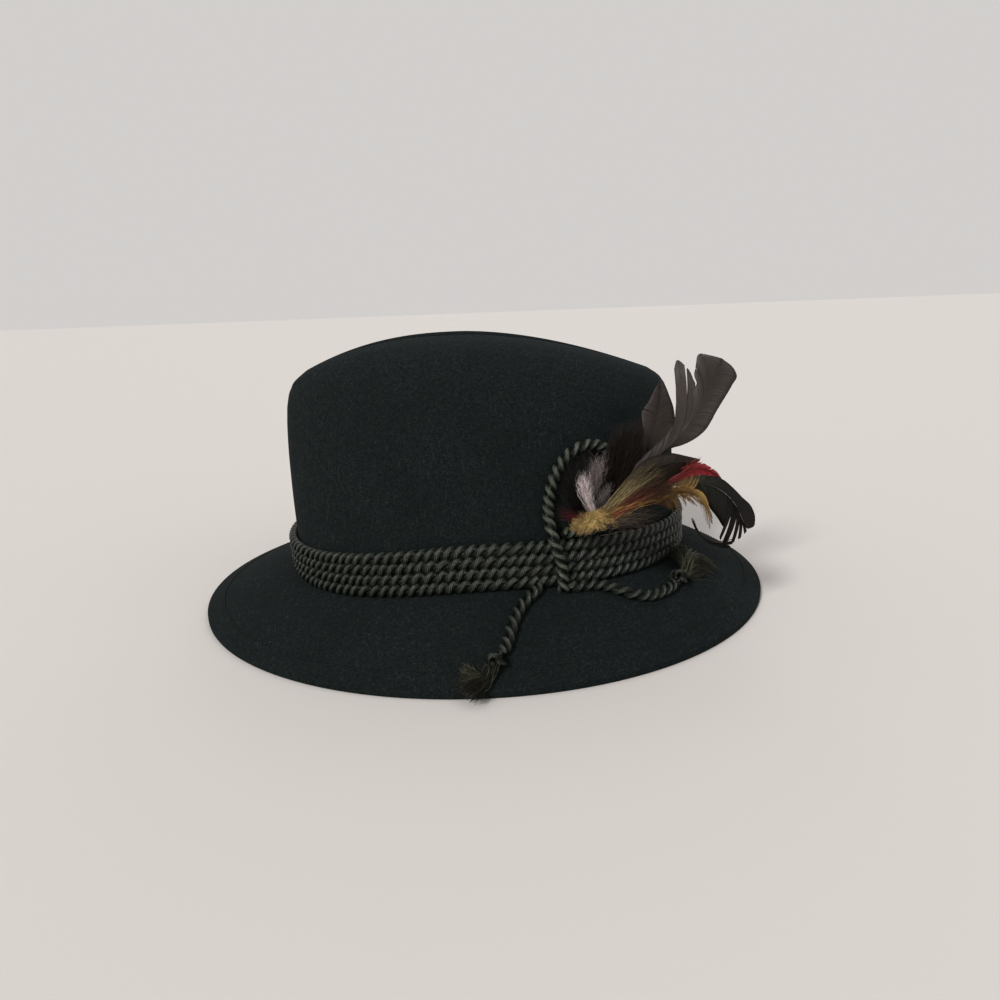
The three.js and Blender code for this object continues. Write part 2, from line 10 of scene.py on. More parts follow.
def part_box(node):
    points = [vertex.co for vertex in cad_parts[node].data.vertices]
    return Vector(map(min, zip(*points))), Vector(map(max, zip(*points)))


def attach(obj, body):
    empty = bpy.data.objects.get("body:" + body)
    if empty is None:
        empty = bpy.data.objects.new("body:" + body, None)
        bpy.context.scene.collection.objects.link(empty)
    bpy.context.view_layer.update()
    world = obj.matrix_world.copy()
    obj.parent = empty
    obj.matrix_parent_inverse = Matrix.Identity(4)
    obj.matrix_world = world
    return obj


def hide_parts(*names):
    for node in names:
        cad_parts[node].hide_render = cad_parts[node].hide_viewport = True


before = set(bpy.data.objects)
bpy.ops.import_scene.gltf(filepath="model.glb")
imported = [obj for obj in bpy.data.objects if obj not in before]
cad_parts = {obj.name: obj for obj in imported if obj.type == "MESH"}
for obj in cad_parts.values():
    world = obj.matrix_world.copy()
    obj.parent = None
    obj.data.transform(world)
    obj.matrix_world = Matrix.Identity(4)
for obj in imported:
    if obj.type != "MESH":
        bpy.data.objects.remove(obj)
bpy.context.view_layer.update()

# Felt body, in metres: the same named sizes and sections as the part's source
BODY_LOW, BODY_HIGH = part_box("felt_body")
BRIM_LENGTH = BODY_HIGH.x - BODY_LOW.x
BRIM_WIDTH = BODY_HIGH.y - BODY_LOW.y
HAT_HEIGHT = BODY_HIGH.z
FELT_THICKNESS = 0.002
CROWN_FRONT = 0.100
CROWN_BACK = 0.1045
CROWN_HALF_WIDTH = 0.086
FOOT_HEIGHT_FRONT = 0.0183
FOOT_HEIGHT_SIDE = 0.0279
FOOT_HEIGHT_BACK = 0.024
ROOF_TOP_X = -0.009
ROOF_DROP_FRONT = 0.022
ROOF_DROP_BACK = 0.027
ROOF_POWER_FRONT = 2.45
ROOF_POWER_BACK = 1.75
DENT_DEPTH = 0.017
DENT_FLOOR_FOLLOW = 0.35
PINCH_DEPTH = 0.003
PINCH_X = -0.058
PINCH_Z = 0.112
PINCH_LENGTH = 0.022
PINCH_HEIGHT = 0.018
HEM_WIDTH = 0.008
HEM_THICKNESS = 0.0034
EDGE_ROUND = 0.0008
REST_WIDTH = 0.0028
BRIM_BOW = 0.0015
# Sections of the crown: level, then shares of CROWN_FRONT, CROWN_BACK and CROWN_HALF_WIDTH
SECTION_LEVEL = [0, 0.25, 0.5, 0.7, 0.82, 0.9, 0.955, 0.985, 1]
SECTION_FRONT = [1, 1.01, 1.014, 1.012, 1.006, 0.996, 0.975, 0.942, 0.885]
SECTION_BACK = [1, 0.994, 0.987, 0.979, 0.973, 0.964, 0.945, 0.912, 0.867]
SECTION_SIDE = [1, 0.975, 0.912, 0.822, 0.715, 0.6, 0.47, 0.345, 0.235]

# Cords
CORD_RADIUS = 0.00215
GAP = 0.0003
ROW_COUNT = 4
ROW_PITCH = 2 * CORD_RADIUS + GAP
ROW_SPREAD = 0.13
ROW_FOOT_GAP = 0.0005
# Length of one turn of the twist
BAND_LAY = 0.0098
LOOP_LAY = 0.0094
LEFT_TAIL_LAY = 0.0100
RIGHT_TAIL_LAY = 0.0098
STRAND_COUNT = 2
STRAND_RADIUS_SHARE = 0.52  # of the cord's radius
SWING_TURNS = 6.0  # turns of the twist to one slow swing of its evenness
SWELL_TURNS = 2.3
FREE_FULLNESS = 1.23  # how far the strands' bulges stand out of the even cord
BAND_FULLNESS = 1.27  # of half the distance between the rows, which press each other flat
BAND_DEPTH = 0.00245
ROW_PHASE = 0.21  # of a turn, from row to row
BAND_STATIONS = 960
BAND_SIDES = 10
LOOP_STATIONS = 360
TAIL_STATIONS = 240
FREE_SIDES = 14
KNOT_DIAMETER = 0.0074
KNOT_LENGTH = 0.008
KNOT_FULLNESS = 1.2
KNOT_SLIP = 0.0012  # of the knot along the tail's end
KNOT_LAY = 0.0085
KNOT_TURNS = 1.6
KNOT_STATIONS = 90
KNOT_SIDES = 12
KNOT_CORD_SHARE = 0.52  # of the knot's radius
KNOT_CORE_SHARE = 0.42
KNOT_RUN = 0.03  # the run of cord that its filaments are spread over
TASSEL_LENGTH_LEFT = 0.013
TASSEL_LENGTH_RIGHT = 0.023
TASSEL_INSIDE_KNOT = 0.0035
TASSEL_PLIES = 8
FIBRES_IN_PLY = 84
FIBRE_RADIUS = 0.00015
FIBRE_STATIONS = 11

# The loop's route: degrees round the crown, height, and how far its middle is from the wall
ON_WALL = CORD_RADIUS + GAP
OVER_BAND = 3 * CORD_RADIUS + 2 * GAP + 0.00015
LOOP_ROUTE = np.array([
    (-72.4, 0.0507, ON_WALL), (-68.6, 0.0507, ON_WALL), (-65, 0.051, ON_WALL), (-62, 0.0522, ON_WALL),
    (-59.7, 0.0548, ON_WALL), (-58.1, 0.059, ON_WALL), (-56.8, 0.065, ON_WALL), (-56, 0.072, ON_WALL),
    (-56.4, 0.079, ON_WALL), (-58.4, 0.0846, ON_WALL), (-61.4, 0.0876, ON_WALL), (-64.5, 0.088, ON_WALL),
    (-67.6, 0.0868, ON_WALL), (-70.4, 0.084, ON_WALL), (-72.5, 0.080, ON_WALL), (-74.1, 0.075, ON_WALL),
    (-75.2, 0.0695, ON_WALL), (-75.8, 0.064, ON_WALL), (-76, 0.0592, ON_WALL + 0.0004),
    (-75.9, 0.0548, ON_WALL + 0.0021), (-75.6, 0.0506, OVER_BAND - 0.0009), (-75, 0.046, OVER_BAND + 0.0001),
    (-74.2, 0.041, OVER_BAND + 0.0001), (-73.7, 0.036, OVER_BAND), (-73.6, 0.031, OVER_BAND),
    (-73.5, 0.0268, OVER_BAND - 0.0002),
])
# Where the cords' hidden starts and ends tuck in under the band
LOOP_TUCK = np.array([(-73.4, 0.0262, OVER_BAND - 0.002), (-73.3, 0.0272, OVER_BAND - 0.0035)])
LEFT_TUCK = (0.0198, -0.0888)
RIGHT_TUCK = (0.0322, -0.0862)
# The tails' routes in plan
LEFT_TAIL_ROUTE = [
    (0.0178, -0.0923), (0.0149, -0.095), (0.012, -0.0984), (0.0096, -0.1022), (0.0075, -0.1062),
    (0.0058, -0.1103), (0.0043, -0.1144), (0.0027, -0.1184), (0.0006, -0.1216),
]
RIGHT_TAIL_ROUTE = [
    (0.0349, -0.0879), (0.039, -0.0867), (0.0435, -0.0856), (0.048, -0.0849), (0.0525, -0.0854),
    (0.057, -0.0868), (0.062, -0.0879), (0.067, -0.088), (0.072, -0.0866), (0.077, -0.0837),
    (0.0818, -0.0798), (0.086, -0.0753),
]


# Curves and surfaces

def unit(vectors):
    """Each vector divided by its own length."""
    return vectors / np.maximum(np.linalg.norm(vectors, axis=-1, keepdims=True), 1e-12)


def smooth(t):
    """3t² - 2t³, clipped to 0 and 1: a step with level ends."""
    t = np.clip(t, 0, 1)
    return t * t * (3 - 2 * t)


def through(x, places, values):
    """A cubic through (place, value) pairs, with the slope of the line between a pair's neighbours."""
    places = np.asarray(places, float)
    values = np.asarray(values, float)
    slopes = np.gradient(values, places, axis=0)
    i = np.clip(np.searchsorted(places, x, side="right") - 1, 0, len(places) - 2)
    h = places[i + 1] - places[i]
    t = (x - places[i]) / h
    shape = (...,) + (None,) * (values.ndim - 1)
    t, h = t[shape], h[shape]
    rise = t * t * (3 - 2 * t)
    return (values[i] * (1 - rise) + values[i + 1] * rise
            + h * slopes[i] * t * (1 - t) ** 2 - h * slopes[i + 1] * t * t * (1 - t))


def lengths_along(points):
    """The distance from the first point to each point, measured along the line."""
    steps = np.linalg.norm(np.diff(points, axis=0), axis=1)
    return np.concatenate([[0], np.cumsum(steps)])


def path_through(points, count):
    """A smooth line through the points, as count points at equal distances along it."""
    points = np.asarray(points, float)
    chords = lengths_along(points)
    fine = through(np.linspace(0, chords[-1], 12 * count), chords, points)
    run = lengths_along(fine)
    even = np.linspace(0, run[-1], count)
    return np.stack([np.interp(even, run, fine[:, axis]) for axis in range(points.shape[1])], axis=1)


def roof_height(x):
    """The top less a drop that grows as a power of the share of the way to the crown's front or back."""
    to_front = np.clip((ROOF_TOP_X - x) / (ROOF_TOP_X + CROWN_FRONT), 0, None)
    to_back = np.clip((x - ROOF_TOP_X) / (CROWN_BACK - ROOF_TOP_X), 0, None)
    front_drop = ROOF_DROP_FRONT * to_front ** ROOF_POWER_FRONT
    return HAT_HEIGHT - front_drop - ROOF_DROP_BACK * to_back ** ROOF_POWER_BACK


def foot_height(azimuth):
    """From the side's height to the front's or back's, by a smooth step of the cosine."""
    c = np.cos(azimuth)
    end = np.where(c < 0, FOOT_HEIGHT_FRONT, FOOT_HEIGHT_BACK)
    return FOOT_HEIGHT_SIDE + (end - FOOT_HEIGHT_SIDE) * smooth(np.abs(c))


def oval(azimuth, front, back, side, z):
    """Two half ellipses that meet at x = 0, at height z."""
    c = np.cos(azimuth)
    x = c * np.where(c < 0, front, back)
    return np.stack(np.broadcast_arrays(x, np.sin(azimuth) * side, z), axis=-1)


def crown(azimuth, level):
    """The oval of the level's section, between the foot's height and the roof's, pinched in at the front."""
    front = CROWN_FRONT * through(level, SECTION_LEVEL, SECTION_FRONT)
    back = CROWN_BACK * through(level, SECTION_LEVEL, SECTION_BACK)
    side = CROWN_HALF_WIDTH * through(level, SECTION_LEVEL, SECTION_SIDE)
    points = oval(azimuth, front, back, side, 0.0)
    x, y = points[..., 0], points[..., 1]
    foot = foot_height(azimuth)
    z = foot + (roof_height(x) - foot) * level
    pinch = np.exp(-((x - PINCH_X) / PINCH_LENGTH) ** 2 - ((z - PINCH_Z) / PINCH_HEIGHT) ** 2)
    y = y - np.sign(y) * PINCH_DEPTH * smooth(3 * np.abs(y) / CROWN_HALF_WIDTH) * pinch
    return np.stack([x, y, z], axis=-1)


def dent(azimuth, share):
    """The ridge's outline drawn in by the share, which rises from the dent's floor by a smooth step."""
    ridge = crown(azimuth, np.ones_like(azimuth))
    x = ridge[..., 0] * share
    floor = HAT_HEIGHT - DENT_DEPTH - DENT_FLOOR_FOLLOW * (HAT_HEIGHT - roof_height(x))
    return np.stack([x, ridge[..., 1] * share, floor + (ridge[..., 2] - floor) * smooth(share)], axis=-1)


def brim_extents(share, inset=EDGE_ROUND):
    """From the crown's foot to the brim's edge, the front, back and side reach of the oval."""
    length, width = BRIM_LENGTH / 2 - inset, BRIM_WIDTH / 2 - inset
    return (CROWN_FRONT + (length - CROWN_FRONT) * share, CROWN_BACK + (length - CROWN_BACK) * share,
            CROWN_HALF_WIDTH + (width - CROWN_HALF_WIDTH) * share)


def brim_height(azimuth, share):
    """A straight fall from the foot to the edge, bowed up between them."""
    foot = foot_height(azimuth)
    return foot + (HEM_THICKNESS - foot) * share + BRIM_BOW * 4 * share * (1 - share)


def brim(azimuth, share):
    """The brim's oval at the share, at the brim's height."""
    return oval(azimuth, *brim_extents(share), brim_height(azimuth, share))


def brim_height_at(x, y):
    """The brim's height over places in plan, whose oval is found by halving."""
    low, high = np.zeros_like(x), np.ones_like(x)
    for _ in range(30):
        middle = (low + high) / 2
        front, back, side = brim_extents(middle)
        outside = np.hypot(x / np.where(x < 0, front, back), y / side) > 1
        low, high = np.where(outside, middle, low), np.where(outside, high, middle)
    front, back, side = brim_extents(low)
    return brim_height(np.arctan2(y / side, x / np.where(x < 0, front, back)), low)


def brim_normal_at(x, y, step=0.0005):
    """The upward normal of the brim from its slopes along X and Y."""
    slope_x = (brim_height_at(x + step, y) - brim_height_at(x - step, y)) / (2 * step)
    slope_y = (brim_height_at(x, y + step) - brim_height_at(x, y - step)) / (2 * step)
    return unit(np.stack([-slope_x, -slope_y, np.ones_like(x)], axis=-1))


def on_brim(plan, lift):
    """Places in plan set on the brim, with the middle lifted square to it."""
    plan = np.asarray(plan, float)
    x, y = plan[..., 0], plan[..., 1]
    z = brim_height_at(x, y) + lift / brim_normal_at(x, y)[..., 2]
    return np.stack([x, y, z], axis=-1)


def outside_crown(azimuth, height, distance):
    """The crown's wall at a height, moved out square to its level outline, and the outward directions."""
    level = np.full_like(azimuth, 0.2)
    for _ in range(12):
        roof = roof_height(crown(azimuth, level)[..., 0])
        foot = foot_height(azimuth)
        level = np.clip((height - foot) / (roof - foot), 0, 1)
    step = 0.001
    along = crown(azimuth + step, level) - crown(azimuth - step, level)
    outward = unit(np.stack([along[..., 1], -along[..., 0], np.zeros_like(azimuth)], axis=-1))
    places = crown(azimuth, level) + outward * np.asarray(distance)[..., None]
    places[..., 2] = height
    return places, outward


# Meshes

def mesh_piece(name, points, faces, finish, uv=None, attributes=None):
    """A smooth mesh object at the origin, from points, arrays of equal faces, corner UVs and attributes."""
    mesh = bpy.data.meshes.new(name)
    corners = np.concatenate([f.ravel() for f in faces]).astype(np.int32)
    sizes = np.concatenate([np.full(len(f), f.shape[1]) for f in faces])
    starts = np.concatenate([[0], np.cumsum(sizes)[:-1]]).astype(np.int32)
    mesh.vertices.add(len(points))
    mesh.vertices.foreach_set("co", points.astype(np.float32).ravel())
    mesh.loops.add(len(corners))
    mesh.loops.foreach_set("vertex_index", corners)
    mesh.polygons.add(len(sizes))
    mesh.polygons.foreach_set("loop_start", starts)
    mesh.polygons.foreach_set("use_smooth", np.ones(len(sizes), bool))
    mesh.update(calc_edges=True)
    if uv is not None:
        layer = mesh.uv_layers.new(name="run")
        layer.data.foreach_set("uv", uv.astype(np.float32).ravel())
    for key, values in (attributes or {}).items():
        attribute = mesh.attributes.new(key, "FLOAT", "POINT")
        attribute.data.foreach_set("value", values.astype(np.float32).ravel())
    mesh.validate()
    mesh.materials.append(finish)
    piece = bpy.data.objects.new(name, mesh)
    bpy.context.scene.collection.objects.link(piece)
    return piece


def tube_group(rings, closed=False, tones=None, spots=None, length=1.0):
    """Tubes whose rings are (tube, station, corner, xyz), counterclockwise about the way they run.

    Open tubes end in a pole at the middle of their first and last ring. The UV map holds the distance along
    and the share around, and the attributes hold each tube's tone, its spot, and the share along it."""
    tubes, stations, sides = rings.shape[:3]
    spans = stations if closed else stations - 1
    counts = (np.arange(count) for count in (tubes, spans, sides))
    t, i, j = (a.ravel() for a in np.meshgrid(*counts, indexing="ij"))

    def index(tube, station, side):
        return (tube * stations + station % stations) * sides + side % sides

    corners = [index(t, i, j), index(t, i, j + 1), index(t, i + 1, j + 1), index(t, i + 1, j)]
    points = rings.reshape(-1, 3)
    along = np.broadcast_to(np.linspace(0, 1, stations)[None, :, None], rings.shape[:3]).reshape(-1)
    tube_of = np.repeat(np.arange(tubes), stations * sides)
    faces = [np.stack(corners, axis=1)]
    u = np.stack([i, i, i + 1, i + 1], axis=1) * length / spans
    v = np.stack([j, j + 1, j + 1, j], axis=1) / sides
    uv = [np.stack([u, v], axis=-1).reshape(-1, 2)]
    if not closed:
        tube, side = (a.ravel() for a in np.meshgrid(np.arange(tubes), np.arange(sides), indexing="ij"))
        pole = len(points) + tube
        last = stations - 1
        first_fan = [pole, index(tube, 0, side + 1), index(tube, 0, side)]
        last_fan = [pole + tubes, index(tube, last, side), index(tube, last, side + 1)]
        faces += [np.stack(fan, axis=1) for fan in (first_fan, last_fan)]
        points = np.concatenate([points, rings[:, 0].mean(axis=1), rings[:, -1].mean(axis=1)])
        along = np.concatenate([along, np.zeros(tubes), np.ones(tubes)])
        tube_of = np.concatenate([tube_of, np.arange(tubes), np.arange(tubes)])
        share = np.repeat(side / sides, 3)
        uv += [np.stack([np.full(len(share), end), share], axis=-1) for end in (0.0, length)]
    tones = np.zeros(tubes) if tones is None else np.broadcast_to(tones, (tubes,))
    spots = np.zeros(tubes) if spots is None else np.broadcast_to(spots, (tubes,))
    return points, faces, uv, {"along": along, "tone": tones[tube_of], "spot": spots[tube_of]}


def tube_piece(name, groups, finish):
    """One object of several groups of tubes."""
    points, faces, uv, attributes = [], [], [], {"along": [], "tone": [], "spot": []}
    first = 0
    for group_points, group_faces, group_uv, group_attributes in groups:
        points.append(group_points)
        faces += [f + first for f in group_faces]
        uv += group_uv
        for key, values in group_attributes.items():
            attributes[key].append(values)
        first += len(group_points)
    attributes = {key: np.concatenate(values) for key, values in attributes.items()}
    return mesh_piece(name, np.concatenate(points), faces, finish, np.concatenate(uv), attributes)


def ridden(piece, slot, *nodes):
    """A piece that rides on the hat's one body and stands for the nodes, whose parts are hidden. The slot is
    not used.
    """
    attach(piece, "root")
    if nodes:
        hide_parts(*nodes)
    return piece


# Materials

class Socket:
    """A value in a material, so that shader maths reads as a Python expression."""

    def __init__(self, finish, output):
        self.finish = finish
        self.output = output

    def maths(self, operation, *values):
        """One Math node on the values, in their order."""
        return self.finish.node("ShaderNodeMath", {"operation": operation}, dict(enumerate(values)))

    def __add__(self, other):
        return self.maths("ADD", self, other)

    def __mul__(self, other):
        return self.maths("MULTIPLY", self, other)

    __radd__ = __add__
    __rmul__ = __mul__

    def sine(self):
        return self.maths("SINE", self)

    def step(self, low, high):
        """0 below low and 1 above high, with a smooth rise between them."""
        values = {"Value": self, "From Min": low, "From Max": high}
        return self.finish.node("ShaderNodeMapRange", {"interpolation_type": "SMOOTHSTEP"}, values)


class Finish:
    """A material: its nodes are added by one method, and its shader's constants are set on the sockets."""

    def __init__(self, name, **constants):
        self.material = bpy.data.materials.new(name)
        self.material.use_nodes = True
        self.tree = self.material.node_tree
        self.shader = self.tree.nodes["Principled BSDF"]
        for key, value in constants.items():
            self.shader.inputs[key.replace("_", " ")].default_value = value

    def node(self, kind, settings=None, inputs=None, output=0):
        """Adds a node, applies its settings, then sets or links its inputs, and gives one output."""
        made = self.tree.nodes.new(kind)
        for key, value in (settings or {}).items():
            if key == "stops":
                self.set_stops(made.color_ramp, value)
            else:
                setattr(made, key, value)
        for key, value in (inputs or {}).items():
            socket = made.inputs[key] if isinstance(key, int) else self.named(made.inputs, key)
            if isinstance(value, Socket):
                self.tree.links.new(value.output, socket)
            else:
                socket.default_value = value
        found = made.outputs[output] if isinstance(output, int) else self.named(made.outputs, output)
        return Socket(self, found)

    @staticmethod
    def named(sockets, name):
        """The socket of that identifier, or of that name."""
        return next((s for s in sockets if s.identifier == name), None) or sockets[name]

    @staticmethod
    def set_stops(ramp, stops):
        """Gives a colour ramp its stops, each a place and a colour."""
        while len(ramp.elements) < len(stops):
            ramp.elements.new(1)
        for element, (place, colour) in zip(ramp.elements, stops):
            element.position = place
            element.color = (*colour, 1)

    def attribute(self, name):
        return self.node("ShaderNodeAttribute", {"attribute_name": name}, output="Fac")

    def place(self):
        return self.node("ShaderNodeTexCoord", output="Object")

    def run(self):
        """The piece's own UV map, as its two coordinates."""
        uv = self.node("ShaderNodeUVMap", {"uv_map": "run"})
        parts = self.node("ShaderNodeSeparateXYZ", inputs={0: uv})
        return parts, Socket(self, parts.output.node.outputs[1])

    def stretched(self, vector, scale):
        return self.node("ShaderNodeMapping", inputs={"Vector": vector, "Scale": scale})

    def noise(self, scale, detail=2.0, rough=0.5, vector=None):
        values = {"Vector": vector or self.place(), "Scale": scale, "Detail": detail, "Roughness": rough}
        return self.node("ShaderNodeTexNoise", inputs=values)

    def mixed(self, amount, first, second, blend="MIX"):
        """The first colour, turned towards the second by the amount."""
        settings = {"data_type": "RGBA", "blend_type": blend}
        colours = {"Factor_Float": amount}
        for key, colour in (("A_Color", first), ("B_Color", second)):
            colours[key] = colour if isinstance(colour, Socket) else (*colour, 1)
        return self.node("ShaderNodeMix", settings, colours, "Result_Color")

    def ramp(self, amount, stops):
        return self.node("ShaderNodeValToRGB", {"stops": stops}, {"Fac": amount}, "Color")

    def feed(self, key, value):
        self.tree.links.new(value.output, self.shader.inputs[key])

    def relief(self, height, depth):
        """A Bump node of that depth in metres feeds the shader's Normal."""
        values = {"Height": height, "Distance": depth, "Strength": 1.0}
        self.feed("Normal", self.node("ShaderNodeBump", inputs=values))


def felt_finish():
    """Brushed felt: a matted ground with fine lighter hairs that lie every way, and slow changes of tone."""
    finish = Finish("felt", Roughness=0.95, Sheen_Weight=0.02, Sheen_Roughness=0.5, Specular_IOR_Level=0.08)
    finish.shader.inputs["Sheen Tint"].default_value = (0.6, 0.7, 0.72, 1)
    grain = finish.noise(1300, 3, 0.65)
    tufts = finish.noise(420, 3, 0.6)
    clouds = finish.noise(34, 2)
    across = finish.noise(620, 2, 0.6, finish.stretched(finish.place(), (1, 0.28, 2.2)))
    upright = finish.noise(620, 2, 0.6, finish.stretched(finish.place(), (2.2, 1, 0.3)))
    hairs = across.step(0.56, 0.72) + upright.step(0.56, 0.74)
    ground = finish.ramp(grain, [(0.3, (0.0042, 0.0060, 0.0061)), (0.52, (0.0090, 0.0123, 0.0125)),
                                 (0.7, (0.0200, 0.0264, 0.0264))])
    mottled = finish.mixed(tufts.step(0.42, 0.68) * 0.5, ground, (0.0150, 0.0198, 0.0200))
    haired = finish.mixed(hairs * 0.4, mottled, (0.0380, 0.0480, 0.0470))
    finish.feed("Base Color", finish.mixed(clouds.step(0.35, 0.7) * 0.35, haired, (0.0078, 0.0102, 0.0100)))
    finish.relief(grain * 0.6 + tufts * 0.5 + hairs * 0.25, 0.0004)
    return finish.material


FILAMENTS_ROUND = 11
FILAMENT_SLANT = 1400  # radians of their pattern in a metre of cord


def cord_finish(name, painted_lightness):
    """Twisted rayon: fine filaments lie along each strand. It is dark olive, with painted shade deepest in
    the grooves and a painted highlight along each strand's outer crest.
    """
    finish = Finish(name, Specular_IOR_Level=0.45)
    along, around = finish.run()
    # Painted light: this term lightens each strand's outer crest as a highlight and darkens it into the
    # grooves as shade.
    crest = (around * (2 * math.pi) + math.pi / 2).sine()
    filaments = (around * (2 * math.pi * FILAMENTS_ROUND) + along * FILAMENT_SLANT).sine()
    fuzz = finish.noise(2400, 2, 0.6)
    tone = finish.noise(150, 2)
    shade = fuzz * 0.5 + filaments * 0.1 + crest * 0.36 + painted_lightness
    colour = finish.ramp(shade, [(0.32, (0.0007, 0.0014, 0.0007)), (0.6, (0.0042, 0.0068, 0.0040)),
                                 (0.82, (0.1600, 0.1950, 0.1450))])
    finish.feed("Base Color", finish.mixed(tone.step(0.4, 0.7) * 0.35, colour, (0.0120, 0.0155, 0.0085)))
    finish.feed("Roughness", 0.2 + fuzz * 0.2)
    finish.relief(filaments * 0.5 + fuzz * 0.8, 0.00025)
    return finish.material


def frayed_finish():
    """Loose cord fibres, olive brown, paler towards their ends."""
    finish = Finish("frayed_cord", Roughness=0.55, Specular_IOR_Level=0.25)
    along, tone = finish.attribute("along"), finish.attribute("tone")
    # The ramp's pale top end is reached mostly by the right tassel's tones, which are painted paler as
    # light.
    colour = finish.ramp(tone, [(0.0, (0.005, 0.006, 0.0030)), (0.5, (0.0160, 0.0175, 0.0095)),
                                (1.0, (0.125, 0.124, 0.088))])
    finish.feed("Base Color", finish.mixed(along * 0.3, colour, (0.034, 0.029, 0.020)))
    return finish.material


def thread_finish():
    """Dark sewing thread, with its twist as fine slanting lines."""
    finish = Finish("thread", Roughness=0.6, Specular_IOR_Level=0.2)
    along, around = finish.run()
    twist = (around * (2 * math.pi * 2) + along * 40).sine()
    colour = finish.mixed(twist * 0.5 + 0.5, (0.0060, 0.0085, 0.0080), (0.0150, 0.0190, 0.0180))
    finish.feed("Base Color", colour)
    return finish.material


FELT = felt_finish()
# The loop's cord is a paler copy of the band's: its extra lift is painted light, for the brighter highlights
# the loop catches.
CORD = cord_finish("cord", 0.035)
LOOP_CORD_PAINTED_PALER = cord_finish("loop_cord", 0.11)
THREAD = thread_finish()
FRAYED = frayed_finish()


# Camera

CAMERA_PLACE = Vector((-0.0146, -0.40076, 0.15572))
CAMERA_AHEAD = Vector((0.0577, 0.9622, -0.2662)).normalized()
CAMERA_ROLL = 0.0361
FOCAL_PIXELS = 751
IMAGE_PIXELS = 1000
SENSOR_WIDTH = 36


def add_camera():
    """The camera at the hat's side, looking a little down, with the photograph's slight roll."""
    data = bpy.data.cameras.new("camera")
    data.sensor_width = SENSOR_WIDTH
    data.lens = SENSOR_WIDTH * FOCAL_PIXELS / IMAGE_PIXELS
    data.clip_start = 0.01
    level = CAMERA_AHEAD.cross(Vector((0, 0, 1))).normalized()
    upward = level.cross(CAMERA_AHEAD)
    right = level * math.cos(CAMERA_ROLL) - upward * math.sin(CAMERA_ROLL)
    top = level * math.sin(CAMERA_ROLL) + upward * math.cos(CAMERA_ROLL)
    turn = Matrix((right, top, -CAMERA_AHEAD)).transposed().to_4x4()
    camera = bpy.data.objects.new("camera", data)
    camera.matrix_world = Matrix.Translation(CAMERA_PLACE) @ turn
    bpy.context.scene.collection.objects.link(camera)
    bpy.context.scene.camera = camera


add_camera()


# Cords

def round_rings(centres, radial, tangents, radius, sides, squash=1.0):
    """Circles about the centres, in the plane square to the tangents, from the radial directions on."""
    sideways = np.cross(tangents, radial)
    turn = 2 * np.pi * np.arange(sides) / sides
    radius = np.asarray(radius)[..., None, None]
    ring = np.cos(turn)[:, None] * radial[..., None, :] * squash
    ring = ring + np.sin(turn)[:, None] * sideways[..., None, :]
    return centres[..., None, :] + radius * ring


def directions(path, closed=False):
    """Unit tangents of a line of points."""
    if closed:
        return unit(np.roll(path, -1, axis=0) - np.roll(path, 1, axis=0))
    return unit(np.gradient(path, axis=0))


def twisted(path, outward, radius, lay, closed=False, sides=12, phase=0.0, depth=None):
    """Strands laid round the path as left-handed helices. A strand's turn is the length along over the lay.

    Slow swings of the turn and of the strands' thickness keep the twist from being even.
    The cord is as deep as it is wide unless a depth is given, which is its radius along the outward way."""
    tangents = directions(path, closed)
    normals = unit(outward - (outward * tangents).sum(1, keepdims=True) * tangents)
    sideways = np.cross(tangents, normals)
    run = lengths_along(np.concatenate([path, path[:1]]) if closed else path)
    turns = run[-1] / lay
    if closed:
        turns = round(turns)
    share = run[:len(path)] / run[-1]
    radius = np.broadcast_to(radius, (len(path),))
    swing, swell = (np.sin(2 * np.pi * (round(turns / each) * share + 3 * phase))
                    for each in (SWING_TURNS, SWELL_TURNS))
    strand_radius = STRAND_RADIUS_SHARE * radius * (1 + 0.03 * swing + 0.04 * swell)
    turned = share * turns + 0.1 * swing + 0.035 * swell
    turn = -2 * np.pi * (turned[None] + np.arange(STRAND_COUNT)[:, None] / STRAND_COUNT + phase)
    radial = np.cos(turn)[..., None] * normals + np.sin(turn)[..., None] * sideways
    inward = strand_radius - (radius if depth is None else depth)
    reach = np.cos(turn)[..., None] * normals * -inward[:, None]
    centres = path + reach + np.sin(turn)[..., None] * sideways * (radius - strand_radius)[:, None]
    if closed:
        along = unit(np.roll(centres, -1, axis=1) - np.roll(centres, 1, axis=1))
    else:
        along = unit(np.gradient(centres, axis=1))
    radial = unit(radial - (radial * along).sum(-1, keepdims=True) * along)
    strand_radius = np.broadcast_to(strand_radius, centres.shape[:2])
    return round_rings(centres, radial, along, strand_radius, sides), run[-1]


def row_pitch(azimuth):
    """The height from row to row, a little more on the trimmed side."""
    return ROW_PITCH * (1 + ROW_SPREAD * np.clip(-np.sin(azimuth), 0, None) ** 2)


def row_height(azimuth, row):
    """The height of a row's middle over the brim."""
    return foot_height(azimuth) + ROW_FOOT_GAP + CORD_RADIUS + row * row_pitch(azimuth)


def add_band():
    """The band's rows, each one closed cord round the crown."""
    azimuth = np.linspace(0, 2 * np.pi, BAND_STATIONS, endpoint=False)
    for row in range(ROW_COUNT):
        path, outward = outside_crown(azimuth, row_height(azimuth, row), np.full_like(azimuth, ON_WALL))
        radius = BAND_FULLNESS * row_pitch(azimuth) / 2
        rings, length = twisted(path, outward, radius, BAND_LAY, True, BAND_SIDES, ROW_PHASE * row,
                                BAND_DEPTH)
        piece = tube_piece(f"band_cord_{row + 1}", [tube_group(rings, closed=True, length=length)], CORD)
        ridden(piece, "cord", f"band_row_{row + 1}")


